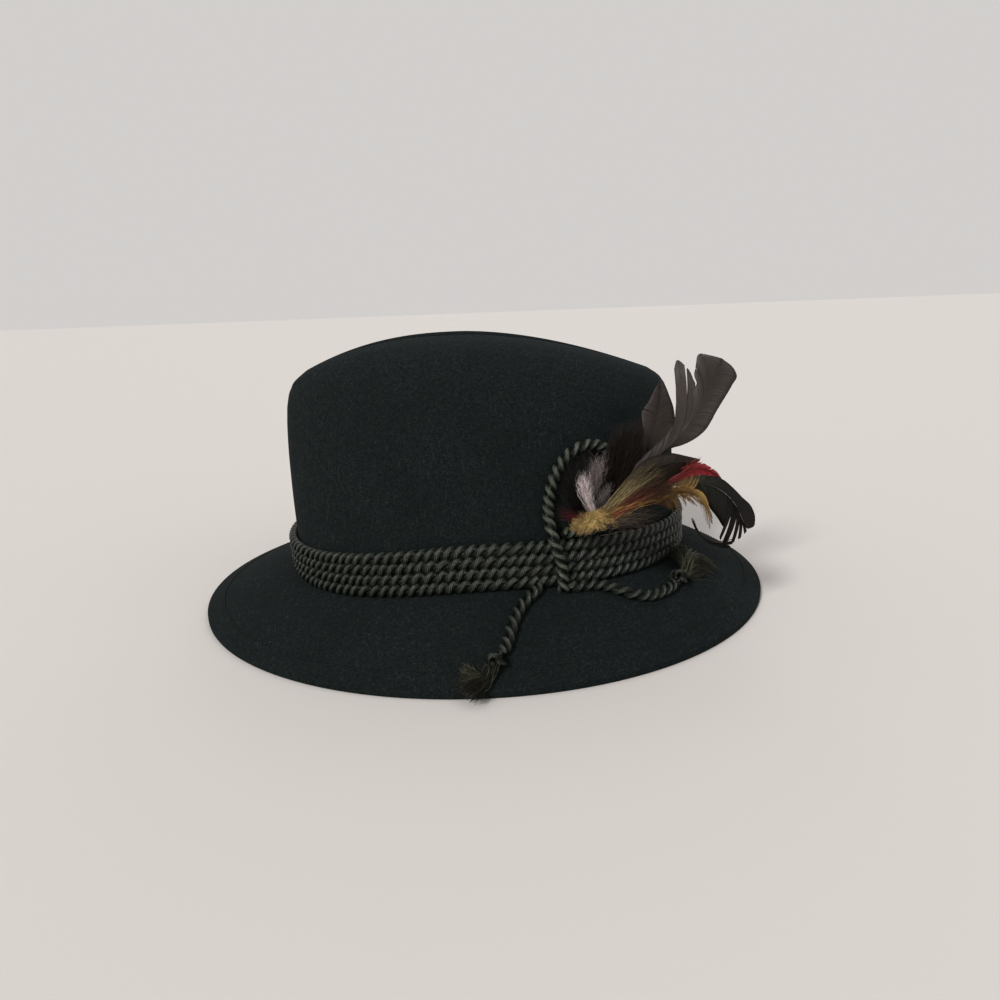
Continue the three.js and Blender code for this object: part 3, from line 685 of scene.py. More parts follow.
def add_loop():
    """The cord that runs back on the band, rises behind the plume and comes down over the band as a loop."""
    azimuth, height, distance = np.concatenate([LOOP_ROUTE, LOOP_TUCK]).T
    points, _ = outside_crown(np.radians(azimuth), height, distance)
    path = path_through(points, LOOP_STATIONS)
    outward = unit(path * [1, 1, 0])
    rings, length = twisted(path, outward, FREE_FULLNESS * CORD_RADIUS, LOOP_LAY, sides=FREE_SIDES)
    ridden(tube_piece("loop_cord", [tube_group(rings, length=length)], LOOP_CORD_PAINTED_PALER), "cord", "cord_loop")


def knot_rings(place, ahead, upward):
    """A turn and a half of the cord drawn tight round its own run: a helix about the way ahead."""
    cord_radius = KNOT_CORD_SHARE * KNOT_DIAMETER / 2
    coil = KNOT_FULLNESS * KNOT_DIAMETER / 2 - cord_radius
    share = np.linspace(-0.5, 0.5, KNOT_STATIONS)
    turn = 2 * np.pi * KNOT_TURNS * share
    sideways = np.cross(ahead, upward)
    tuck = 1 - 0.5 * smooth((np.abs(share) - 0.38) / 0.12)
    radial = np.cos(turn)[:, None] * upward + np.sin(turn)[:, None] * sideways
    path = place + (KNOT_LENGTH - 2 * cord_radius) * share[:, None] * ahead + (coil * tuck)[:, None] * radial
    wrap, _ = twisted(path, radial, cord_radius, KNOT_LAY, sides=KNOT_SIDES)
    core = place + share[:, None] * KNOT_LENGTH * 1.1 * ahead
    core_radius = KNOT_CORE_SHARE * KNOT_DIAMETER / 2
    radial = np.broadcast_to(upward, core.shape)
    through_it, _ = twisted(core, radial, core_radius, KNOT_LAY, sides=KNOT_SIDES)
    return wrap, through_it


def fibre_rings(paths, radius, sides=3, reference=(0.31, 0.17, 0.93)):
    """Thin round fibres along (fibre, station, xyz) lines, turned about themselves by the reference way."""
    tangents = unit(np.gradient(paths, axis=1))
    radial = unit(np.cross(tangents, np.asarray(reference)))
    radius = np.broadcast_to(radius, paths.shape[:2])
    return round_rings(paths, radial, tangents, radius, sides)


def tassel_paths(rng, start, ahead, heading, spread, length, loft, painted_lightness):
    """Frayed fibres of several loosened plies, as lines that lie and stand on the brim.

    They leave the knot along its run and turn to their ply's heading. A ply's fibres sway alike, and part
    from each other towards their ends."""
    plies = TASSEL_PLIES
    count = plies * FIBRES_IN_PLY
    share = np.linspace(0, 1, FIBRE_STATIONS)
    ply = np.repeat(np.arange(plies), FIBRES_IN_PLY)
    side = ((np.arange(plies) + 0.5) / plies - 0.5)[ply] + 0.035 * rng.normal(size=count)
    angle = heading + spread * side
    first = np.arctan2(ahead[1], ahead[0])
    turning = smooth(share * 2.4)[None]
    direction = first + (angle[:, None] - first) * turning
    beats = rng.uniform(0.8, 1.6, (plies, 1))[ply]
    phase = rng.uniform(0, 2 * np.pi, (plies, 1))[ply]
    strength = rng.normal(0, 0.45, (plies, 1))[ply] + rng.normal(0, 0.16, (count, 1))
    direction = direction + strength * np.sin(2 * np.pi * beats * share + phase) * share ** 0.7
    direction = direction + rng.normal(0, 0.3, (count, 1)) * share ** 2
    reach = length * rng.uniform(0.72, 1.04, count) * rng.uniform(0.85, 1.0, plies)[ply]
    steps = (reach / (FIBRE_STATIONS - 1))[:, None]
    plan = start[:2] + 0.0009 * rng.normal(size=(count, 1, 2))
    walk = np.stack([np.cos(direction), np.sin(direction)], axis=-1) * steps[..., None]
    plan = plan + np.concatenate([np.zeros((count, 1, 2)), np.cumsum(walk, axis=1)[:, :-1]], axis=1)
    ground = brim_height_at(plan[..., 0], plan[..., 1]) + 0.0003
    crest = np.clip(rng.uniform(0, 1, (plies, 1))[ply] + rng.normal(0, 0.25, (count, 1)), 0, 1.1)
    rise = loft * crest * np.sin(np.pi * np.clip(0.25 + 0.6 * share, 0, 1))[None]
    knot_height = start[2] + 0.001 * rng.normal(size=(count, 1))
    blend = smooth(share * 2.6)[None]
    z = np.maximum(knot_height * (1 - blend) + (ground + rise) * blend, ground)
    # The middle tone is set per tassel and carries painted light.
    tones = painted_lightness + 0.28 * rng.normal(size=plies)[ply] + 0.15 * rng.normal(size=count)
    return np.concatenate([plan, z[..., None]], axis=-1), np.clip(tones, 0, 1)


def add_tail(side, tuck, route, lay, turn, spread, tassel_length, loft, painted_lightness, seed):
    """A free tail on the brim, with its knot and its frayed end."""
    controls = on_brim([tuck, *route], CORD_RADIUS + GAP)
    path = path_through(controls, TAIL_STATIONS)
    normals = brim_normal_at(path[:, 0], path[:, 1])
    rings, length = twisted(path, normals, FREE_FULLNESS * CORD_RADIUS, lay, sides=FREE_SIDES)
    tail = tube_piece(f"cord_tail_{side}", [tube_group(rings, length=length)], CORD)
    ridden(tail, "cord", f"tail_{side}")
    run = unit((controls[-1] - controls[-2]) * [1, 1, 0])
    place, knot_end = (on_brim(controls[-1, :2] + run[:2] * (reach + KNOT_SLIP), KNOT_DIAMETER / 2 + GAP)
                       for reach in (KNOT_LENGTH / 2, KNOT_LENGTH))
    ahead = unit(knot_end - place)
    upward = brim_normal_at(place[0], place[1])
    upward = unit(upward - (upward @ ahead) * ahead)
    knot_groups = [tube_group(rings, length=KNOT_RUN) for rings in knot_rings(place, ahead, upward)]
    knot = tube_piece(f"cord_knot_{side}", knot_groups, CORD)
    ridden(knot, "cord", f"knot_{side}")
    rng = np.random.default_rng(seed)
    heading = math.atan2(run[1], run[0]) + math.radians(turn)
    start = place + ahead * 0.45 * KNOT_LENGTH
    paths, tones = tassel_paths(rng, start, ahead, heading, math.radians(spread),
                                tassel_length + TASSEL_INSIDE_KNOT, loft, painted_lightness)
    rings = fibre_rings(paths, FIBRE_RADIUS * (1 - 0.5 * np.linspace(0, 1, FIBRE_STATIONS)))
    fringe = tube_piece(f"cord_tassel_{side}", [tube_group(rings, tones=tones)], FRAYED)
    ridden(fringe, "frayed_cord", f"tassel_{side}")


add_band()
add_loop()
# The tassels' tones carry painted light: the right tassel is painted paler against the shadow the plume
# casts on it, and the left one darker.
add_tail("left", LEFT_TUCK, LEFT_TAIL_ROUTE, LEFT_TAIL_LAY, turn=-52, spread=112,
         tassel_length=TASSEL_LENGTH_LEFT, loft=0.0045, painted_lightness=0.35, seed=11)
add_tail("right", RIGHT_TUCK, RIGHT_TAIL_ROUTE, RIGHT_TAIL_LAY, turn=16, spread=84,
         tassel_length=TASSEL_LENGTH_RIGHT, loft=0.0115, painted_lightness=0.95, seed=12)


# Felt

AZIMUTH_COUNT = 320
STITCH_COUNT = 290
STITCH_SHARE = 0.72  # of the way from one stitch to the next
STITCH_RADIUS = 0.0002
STITCH_SIDES = 5
STITCH_STATIONS = 5
GROOVE_WIDTH = 0.0006
GROOVE_DEPTH = 0.00025
HEM_LIP = 0.0003
HEM_CLEAR = 0.004  # share of the brim's width from the hem's step to the inner skin's first ring


def normals_of(grid):
    """Normals of a grid of (station, azimuth, xyz) that closes round, from its two directions."""
    across = np.gradient(grid, axis=0)
    around = np.roll(grid, -1, axis=1) - np.roll(grid, 1, axis=1)
    return unit(np.cross(around, across))


def felt_rings():
    """The outer skin from the dent to the brim's edge, the lip, the turned hem's step, and the inner skin.

    The inner skin is the outer one moved inwards along its normals by the felt's thickness."""
    azimuth = np.linspace(2 * np.pi, 0, AZIMUTH_COUNT, endpoint=False)[None]
    dent_shares = np.linspace(0.02, 0.97, 26)
    crown_levels = np.concatenate([np.linspace(1, 0.9, 18, endpoint=False), np.linspace(0.9, 0, 46)])
    brim_shares = np.concatenate([np.linspace(0, 0.1, 6, endpoint=False)[1:], np.linspace(0.1, 1, 44)])
    outer = np.concatenate([dent(azimuth, dent_shares[:, None]), crown(azimuth, crown_levels[:, None]),
                            brim(azimuth, brim_shares[:, None])])
    normals = normals_of(outer)
    brim_run = BRIM_WIDTH / 2 - CROWN_HALF_WIDTH
    hem_share = 1 - HEM_WIDTH / brim_run
    first_brim = len(dent_shares) + len(crown_levels)
    groove = GROOVE_DEPTH * np.exp(-((brim_shares - hem_share) * brim_run / GROOVE_WIDTH) ** 2)
    outer[first_brim:] -= normals[first_brim:] * groove[:, None, None]
    bend = np.linspace(0, np.pi / 2, 6)[1:]
    lip = [oval(azimuth[0], *brim_extents(1, EDGE_ROUND * (1 - np.sin(a))),
                HEM_THICKNESS - EDGE_ROUND * (1 - np.cos(a))) for a in bend]
    lip += [oval(azimuth[0], *brim_extents(1, EDGE_ROUND * (1 - np.cos(a))), EDGE_ROUND * (1 - np.sin(a)))
            for a in [0, *bend]]
    lip.append(oval(azimuth[0], *brim_extents(1, EDGE_ROUND + REST_WIDTH), 0.0))
    under = np.flatnonzero(brim_shares < hem_share - HEM_CLEAR)[::-1] + first_brim
    hem = int(np.argmin(np.abs(brim_shares - hem_share))) + first_brim
    step = [outer[hem] - normals[hem] * depth
            for depth in (HEM_THICKNESS, HEM_THICKNESS - HEM_LIP, FELT_THICKNESS)]
    inside = np.concatenate([under[under < hem][::2], np.arange(first_brim - 1, -1, -2)])
    inner = outer[inside] - normals[inside] * FELT_THICKNESS
    return np.concatenate([outer, np.array(lip), np.array(step), inner])


def add_felt():
    """The felt body, one closed shell."""
    rings = felt_rings()[None]
    ridden(tube_piece("felt_hat", [tube_group(rings)], FELT), "felt", "felt_body")


def add_stitches():
    """Short stitches in the groove, which hold the turned hem."""
    azimuth = np.linspace(0, 2 * np.pi, STITCH_COUNT, endpoint=False)[:, None]
    share = np.linspace(0, 1, STITCH_STATIONS)[None]
    azimuth = azimuth + STITCH_SHARE * 2 * np.pi / STITCH_COUNT * share
    inset = 1 - (HEM_WIDTH - HEM_LIP) / (BRIM_WIDTH / 2 - CROWN_HALF_WIDTH)
    lines = brim(azimuth, inset)
    lines[..., 2] += STITCH_RADIUS * (1.5 * np.sin(np.pi * share) - 0.6)
    rings = fibre_rings(lines, STITCH_RADIUS, STITCH_SIDES)
    ridden(tube_piece("hem_stitches", [tube_group(rings)], THREAD), "cord")


add_felt()
add_stitches()


# Plume

PLUME_AZIMUTH = math.radians(-66)
PLUME_LIFT = 0.0058
HEAD_DEPTH = 0.012
LAYER_STEP = 0.0014  # between the planes of neighbouring feathers
MILLIMETRE = 0.001
BARB_STATIONS = 8
BARB_THINNESS = 0.3
HAIR_THINNESS = 0.9
SHAFT_STATIONS = 40
SHAFT_SIDES = 8
SHAFT_TONE = 2.0  # the tone that marks a shaft among its barbs


def plume_place():
    """The middle of the plume's head, on the run of cord over the band, and the way out from the crown."""
    azimuth = np.array([PLUME_AZIMUTH])
    height = row_height(azimuth, ROW_COUNT) + PLUME_LIFT
    places, outward = outside_crown(azimuth, height, np.array([HEAD_DEPTH / 2 + 2 * CORD_RADIUS + 2 * GAP]))
    return places[0], outward[0]


PLUME, PLUME_OUTWARD = plume_place()


def curve_at(points, share):
    """Places and unit tangents at shares of a smooth line through points."""
    fine = path_through(points, 300)
    scale = np.linspace(0, 1, len(fine))
    places, ways = (np.stack([np.interp(share, scale, values[:, axis]) for axis in range(2)], axis=1)
                    for values in (fine, directions(fine)))
    return places, unit(ways)


def bent(start, control, end):
    """Quadratic curves from start to end, drawn towards the control."""
    t = np.linspace(0, 1, BARB_STATIONS)[None, :, None]
    return (1 - t) ** 2 * start[:, None] + 2 * t * (1 - t) * control[:, None] + t ** 2 * end[:, None]


class Feather:
    """A feather or tuft in an upright plane of its own, made of groups of barbs and hairs from seeded draws.

    Its curves and lines are in millimetres along, up and out from the middle of the plume's head."""

    def __init__(self, seed, layer, slant, shaft=None):
        self.rng = np.random.default_rng(seed)
        self.along = unit(np.array([1.0, slant, 0.0]))
        self.face = np.array([self.along[1], -self.along[0], 0])
        self.root = PLUME + PLUME_OUTWARD * layer * LAYER_STEP
        self.shaft = shaft
        self.groups = []

    def placed(self, lines):
        """Lines of (along, up, out) set in the plane, in metres."""
        lines = lines * MILLIMETRE
        flat = self.root + lines[..., :1] * self.along + lines[..., 1:2] * np.array([0, 0, 1.0])
        return flat + lines[..., 2:] * self.face

    def scattered(self, points, count, scatter, low=0.0, high=1.0):
        """Random places within a scatter of a smooth line, between two shares of it."""
        places, _ = curve_at(points, self.rng.uniform(low, high, count))
        return places + scatter * self.rng.normal(size=(count, 2))

    def uneven(self, starts, ends, least=0.45):
        """The ends drawn back towards their starts by uneven shares."""
        return starts + (ends - starts) * self.rng.uniform(least, 1.12, (len(starts), 1))

    def gathered(self, share, groups, pull):
        """Shares drawn towards the middles of groups of uneven width, and each one's group."""
        if not groups:
            return share, np.zeros(len(share), int)
        bounds = np.linspace(0, 1, groups + 1)
        bounds[1:-1] += self.rng.uniform(-0.3, 0.3, groups - 1) / groups
        group = np.clip(np.searchsorted(bounds, share, side="right") - 1, 0, groups - 1)
        middle = (bounds[group] + bounds[group + 1]) / 2
        return share + pull * (middle - share), group

    def hairs(self, starts, ends, bow=0.1, wave=0.03, out=0.6):
        """Loose hairs between two arrays of places, bowed to a side and wavering."""
        count = len(starts)
        span = ends - starts
        aside = np.stack([-span[:, 1], span[:, 0]], axis=1)
        middle = (starts + ends) / 2 + aside * (bow + 0.5 * abs(bow) * self.rng.normal(size=(count, 1)))
        t = np.linspace(0, 1, BARB_STATIONS)[None]
        phase = self.rng.uniform(0, 2 * np.pi, (count, 1))
        turn = 2 * np.pi * self.rng.uniform(1.2, 2.6, (count, 1)) * t
        lines = bent(starts, middle, ends) + aside[:, None] * (wave * t * np.sin(turn + phase))[..., None]
        depth = out * (self.rng.normal(size=(count, 1)) * t + 0.6 * t * np.cos(turn + 2 * phase))
        return np.concatenate([lines, depth[..., None]], axis=-1)

    def add_strands(self, lines, half_width, thinness, roll, taper, corners, tones, spots):
        """Flat strands along the lines, pointed at their tips, each turned about itself by its roll."""
        world = self.placed(lines)
        tangents = unit(np.gradient(world, axis=1))
        sideways = unit(np.cross(tangents, self.face))
        roll = roll[:, None, None]
        radial = np.cos(roll) * self.face + np.sin(roll) * sideways
        radial = unit(radial - (radial * tangents).sum(-1, keepdims=True) * tangents)
        radius = half_width * MILLIMETRE * (1 - taper * np.linspace(0, 1, lines.shape[1]) ** 2)
        rings = round_rings(world, radial, tangents, radius, corners, thinness)
        self.groups.append(tube_group(rings, tones=tones, spots=spots))

    def add_vane(self, edge, starts, count, half_width, lean=0.5, groups=0, pull=0.0, ragged=0.03,
                 droop=-1.0, roll=0.12, taper=0.4):
        """Barbs that leave the shaft along its run and bend out to the vane's edge.

        A barb's start is a share of the shaft between the two given, its end the same share of the edge,
        and its control lies ahead of the start by the lean, as a share of the barb's length."""
        share = (np.arange(count) + 0.5) / count
        spots = share * (starts[1] - starts[0]) + starts[0]
        base, tangent = curve_at(self.shaft, spots)
        aim, group = self.gathered(share, groups, pull)
        tip, _ = curve_at(edge, np.clip(aim, 0, 1))
        tip = base + (tip - base) * (1 - ragged * self.rng.uniform(0, 1, (count, 1)) ** 2)
        reach = np.linalg.norm(tip - base, axis=1, keepdims=True)
        t = np.linspace(0, 1, BARB_STATIONS)[None]
        level = self.rng.uniform(-1, 1, (group.max() + 1, 1))[group] * 0.3
        level = level + self.rng.uniform(-1, 1, (count, 1)) * 0.06
        out = droop * t ** 2 + level * t
        tones = 0.5 + 0.08 * self.rng.normal(size=count)
        tones = np.clip(tones + 0.08 * self.rng.normal(size=group.max() + 1)[group], 0, 1)
        lines = np.concatenate([bent(base, base + lean * reach * tangent, tip), out[..., None]], axis=-1)
        roll = roll * self.rng.normal(size=count)
        self.add_strands(lines, half_width, BARB_THINNESS, roll, taper, 4, tones, spots)

    def add_hairs(self, lines, half_width, spot, tone=0.5, spread=0.25):
        """A group of fine hairs of about one tone and one spot."""
        count = len(lines)
        roll = self.rng.uniform(0, 3, count)
        tones = np.clip(tone + spread * self.rng.normal(size=count), 0, 1)
        spots = np.broadcast_to(spot, (count,))
        self.add_strands(lines, half_width, HAIR_THINNESS, roll, 0.7, 3, tones, spots)

    def add_shaft(self, radius, out):
        """The round shaft, thinning to its tip."""
        share = np.linspace(0, 1, SHAFT_STATIONS)
        places, _ = curve_at(self.shaft, share)
        world = self.placed(np.concatenate([places, np.full((SHAFT_STATIONS, 1), out)], axis=1)[None])
        rings = fibre_rings(world, radius * MILLIMETRE * (1 - 0.82 * share), SHAFT_SIDES, self.face)
        self.groups.append(tube_group(rings, tones=SHAFT_TONE))

    def finished(self, name, slot, node, finish):
        """The groups as one piece that stands for the node. Gives its finish back."""
        ridden(tube_piece(name, self.groups, finish), slot, node)
        return finish


def feather_finish(name, hues, tip, shaft, tip_share=0.3, roughness=0.5, tips_from=-1.0, dark=0.45,
                   **constants):
    """Barbs whose colour goes by their spot on the feather and varies from barb to barb.

    Their tips turn to another colour where the spot is over the one given. The darkest barbs keep the given
    share of their colour."""
    finish = Finish(name, Roughness=roughness, **constants)
    along, tone, spot = (finish.attribute(key) for key in ("along", "tone", "spot"))
    streaks = finish.noise(900, 2, 0.6)
    turned = along.step(0.4, 1.0) * spot.step(tips_from, tips_from + 0.05) * tip_share
    ground = finish.mixed(turned, finish.ramp(spot, hues), tip)
    bright = dark + tone * (1.2 - dark) + streaks * 0.35
    shade = finish.node("ShaderNodeCombineXYZ", inputs={0: bright, 1: bright, 2: bright})
    barbs = finish.mixed(1.0, ground, shade, "MULTIPLY")
    finish.feed("Base Color", finish.mixed(tone.step(1.3, 1.7), barbs, shaft))
    return finish.material


def add_tall_grey():
    """The tallest feather: broad at its folded top, with a lobe of split barbs on its inner side."""
    feather = Feather(21, -1, 0.15, [(0, 0), (19.6, 21.2), (31.2, 29.3), (41.3, 37.5), (48.1, 47.1),
                                     (53.6, 59.9), (59.1, 69)])
    outer_edge = [(36, 31.3), (42.3, 32.2), (52.9, 37.8), (58.6, 46.8), (65.3, 57.4), (67.3, 61),
                  (66.2, 63.6), (59.6, 69.2)]
    inner_edge = [(46.2, 55.5), (48.2, 60.2), (46.9, 62.5), (47.6, 67.1), (48.4, 71.4), (54.3, 70.7),
                  (59.4, 69.2)]
    lobe_edge = [(37.4, 65.5), (38.7, 69.6), (41.5, 67.8), (44.3, 65.1), (46.2, 61.4), (48.4, 56.2),
                 (46.6, 52)]
    base_edge = [(21.5, 26.5), (27.5, 31.5), (33.5, 36.2), (37.5, 41.5)]
    feather.add_vane(outer_edge, (0.42, 1), 340, 0.34, 0.45, ragged=0.012, roll=0.06)
    feather.add_vane(inner_edge, (0.62, 1), 270, 0.34, 0.5, 3, 0.08, 0.012, roll=0.06)
    feather.add_vane(lobe_edge, (0.46, 0.68), 210, 0.4, 0.36, 3, 0.22, 0.02)
    feather.add_vane(base_edge, (0.2, 0.5), 130, 0.28, 0.5, 9, 0.3, 0.15)
    feather.add_shaft(0.4, 0.1)
    hues = [(0.3, (0.028, 0.021, 0.020)), (0.6, (0.048, 0.038, 0.032)), (0.85, (0.038, 0.030, 0.026)),
            (1.0, (0.042, 0.034, 0.032))]
    finish = feather_finish("grey_feather", hues, (0.095, 0.081, 0.078), (0.042, 0.034, 0.030), 0.5, 0.5,
                            dark=0.3, Specular_IOR_Level=0.3)
    return feather.finished("tall_grey_feather", "grey_feather", "feather_tall_grey", finish)


def add_inner_grey(finish):
    """A pointed grey feather between the tall one and the crown."""
    feather = Feather(22, -3, 0.3, [(2, 2), (24.5, 21.8), (28.7, 29), (31.9, 37.8), (34.3, 46.6), (35.2, 54),
                                    (34.8, 60.3)])
    left_edge = [(22.5, 26.5), (25.8, 35.3), (25.8, 42.1), (25.4, 47.4), (28.6, 51.5), (31.5, 56.5),
                 (34.6, 60.6)]
    right_edge = [(31.4, 25.5), (36.5, 29.7), (41.6, 35.3), (43.4, 39), (42.6, 43.6), (41.6, 48.3),
                  (39.3, 53.7), (37, 58.3), (35, 60.6)]
    feather.add_vane(left_edge, (0.3, 1), 270, 0.34, 0.5, 3, 0.06, 0.03, 0.6, roll=0.08)
    feather.add_vane(right_edge, (0.3, 1), 290, 0.36, ragged=0.015, droop=0.6, roll=0.08)
    feather.add_shaft(0.4, 0.1)
    feather.finished("inner_grey_feather", "grey_feather", "feather_inner_grey", finish)


def add_broad_brown():
    """A broad dark brown feather that points to the back of the hat."""
    feather = Feather(23, 0, 0.1, [(0, 3), (6.2, 10.6), (15.4, 17.5), (22.9, 22.2), (30.6, 24.7),
                                   (38.3, 25.6), (44.5, 25.2), (48, 25.7)])
    upper_edge = [(16.5, 21.5), (22.5, 26.8), (29.7, 29.2), (35.1, 29.6), (41.3, 28), (48.4, 25.9)]
    lower_edge = [(16.5, 12.5), (26.2, 14.4), (32.4, 13.1), (37, 16.6), (42.4, 20.8), (46.2, 23.5),
                  (48.4, 25.4)]
    feather.add_vane(upper_edge, (0.2, 1), 270, 0.4, 0.5, 4, 0.05, 0.03)
    feather.add_vane(lower_edge, (0.2, 1), 270, 0.4, 0.5, 6, 0.12, 0.05)
    feather.add_shaft(0.5, 0.3)
    hues = [(0.06, (0.0125, 0.0098, 0.0078)), (0.2, (0.026, 0.017, 0.011)), (0.6, (0.020, 0.0145, 0.0100)),
            (0.92, (0.024, 0.017, 0.013)), (1.0, (0.045, 0.040, 0.036))]
    finish = feather_finish("brown_feather", hues, (0.026, 0.017, 0.013), (0.030, 0.022, 0.016), 0.4, 0.45,
                            dark=0.2, Specular_IOR_Level=0.22)
    return feather.finished("broad_brown_feather", "brown_feather", "feather_broad_brown", finish)


def add_brown_down(finish, count=1500):
    """Dark, loose down behind the head, with a paler streak, and fine darkest strands inside the loop that
    are partly painted shade of the loop's hollow.
    """
    down = Feather(24, -2, 0.2)
    low = [(3.5, 8), (9, 11.5), (14.4, 18.9), (21.5, 23.5)]
    top = [(6.6, 27.2), (7.6, 33.1), (9.5, 37.4), (12.6, 41.5), (17.4, 42.6), (22.1, 44.1), (24.5, 39.1),
           (24.5, 30.2)]
    share = down.rng.uniform(0, 1, count)
    starts, _ = curve_at(low, np.clip(share + 0.12 * down.rng.normal(size=count), 0, 1))
    starts = starts + down.rng.normal(size=(count, 2))
    ends, _ = curve_at(top, share)
    ends = starts + (ends - starts) * (1.06 - 0.6 * down.rng.uniform(0, 1, (count, 1)) ** 1.2)
    # The strands inside the loop take the darkest colour, partly as painted shade of the hollow.
    loop_starts = down.scattered([(1, 4), (-4, 6), (-8, 8)], 260, 1.2)
    loop_ends = down.scattered([(-15.5, 12), (-13.5, 21), (-8.5, 29), (0, 33.5)], 260, 1.6)
    streak_starts = down.scattered([(16, 22.5), (18, 25)], 90, 0.6)
    streak_ends = down.scattered([(19.5, 39.5), (22.1, 42.2)], 90, 0.8)
    pale = 0.06 + 0.6 * down.rng.uniform(0, 1, count) ** 3
    down.add_hairs(down.hairs(starts, ends, 0.06, 0.05, 1.1), 0.13, pale, 0.5, 0.6)
    down.add_hairs(down.hairs(loop_starts, loop_ends, -0.12, 0.05, 0.9), 0.1, 0.06, 0.35)
    down.add_hairs(down.hairs(streak_starts, streak_ends, 0.05, 0.04), 0.12, 1.0, 0.9)
    down.finished("brown_down", "brown_feather", "down_brown", finish)


def add_white_down():
    """Pinkish white down: a bright tuft that leans in to the loop, and a greyer, looser one above it."""
    down = Feather(25, 0, 0.05)
    roots = down.scattered([(0, 4.5), (-2, 9.5), (-3.4, 15), (-4.4, 18)], 480, 0.8)
    ends = down.scattered([(-6.6, 17), (-6.5, 21.2), (-5, 23.8), (-2.8, 22.2), (-2, 17)], 480, 0.9)
    bright = down.hairs(roots, down.uneven(roots, ends, 0.35), 0.14, 0.08, 1.0)
    roots = down.scattered([(-1.6, 8.5), (-2.6, 16), (-1, 21.5)], 300, 1.0)
    ends = down.scattered([(-3, 25.8), (0.2, 29.8), (3.4, 31.2), (3.8, 25.6)], 300, 1.2)
    loose = down.hairs(roots, down.uneven(roots, ends), -0.06, 0.08, 0.9)
    roots = down.scattered([(-1.5, 4.5), (3, 5)], 130, 0.7)
    ends = down.scattered([(2, 11), (5.2, 15.8), (7.8, 18)], 130, 1.2)
    aside = down.hairs(roots, ends, -0.1, 0.06)
    down.add_hairs(bright, 0.085, 0.7 - 0.3 * down.rng.uniform(0, 1, len(bright)) ** 1.3, 0.5, 0.4)
    down.add_hairs(loose, 0.06, 0.1 + 0.25 * down.rng.uniform(0, 1, len(loose)), 0.5, 0.4)
    down.add_hairs(aside, 0.08, 0.12)
    hues = [(0.1, (0.060, 0.048, 0.045)), (0.45, (0.24, 0.195, 0.19)), (0.7, (0.92, 0.83, 0.82)),
            (1.0, (0.45, 0.37, 0.35))]
    finish = feather_finish("white_down", hues, (0.60, 0.54, 0.53), (0.3, 0.28, 0.27), 0.3, 0.6)
    down.finished("white_down", "white_down", "down_white", finish)


def add_red():
    """A red feather arched over the end of the brown one, with loose wisps over its arch."""
    feather = Feather(26, 1, 0.08, [(8, 8), (20, 11.5), (32.8, 16.5), (39.5, 20.5), (46, 22.2), (51.5, 20.5),
                                    (56.4, 16.8)])
    upper_edge = [(34.5, 19.5), (39.5, 22.2), (43.5, 24.6), (47, 25.4), (50.5, 23.7), (54.5, 20.8),
                  (57.2, 17.2)]
    lower_edge = [(34, 14.8), (41.2, 17.8), (46, 18.2), (51, 17.7), (56.8, 15.8)]
    wisp_starts = feather.scattered([(38, 21), (46, 23.5)], 36, 0.8)
    for edge, count, droop in ((upper_edge, 240, 0.6), (lower_edge, 220, 0.2)):
        feather.add_vane(edge, (0.3, 1), count, 0.28, 0.6, 5, 0.12, 0.15, droop, 0.3, 0.6)
    wisp_ends = feather.scattered([(42.5, 23.2), (46, 26.2), (48.5, 26.8)], 36, 1.2)
    feather.add_hairs(feather.hairs(wisp_starts, wisp_ends), 0.1, 0.6, 0.7)
    feather.add_shaft(0.22, 0.3)
    hues = [(0.45, (0.10, 0.028, 0.016)), (0.6, (0.20, 0.026, 0.026)), (0.85, (0.30, 0.028, 0.040)),
            (1.0, (0.13, 0.014, 0.018))]
    finish = feather_finish("red_feather", hues, (0.40, 0.075, 0.085), (0.26, 0.050, 0.055), 0.35, 0.5,
                            dark=0.2, Specular_IOR_Level=0.25)
    feather.finished("red_feather", "red_feather", "feather_red", finish)


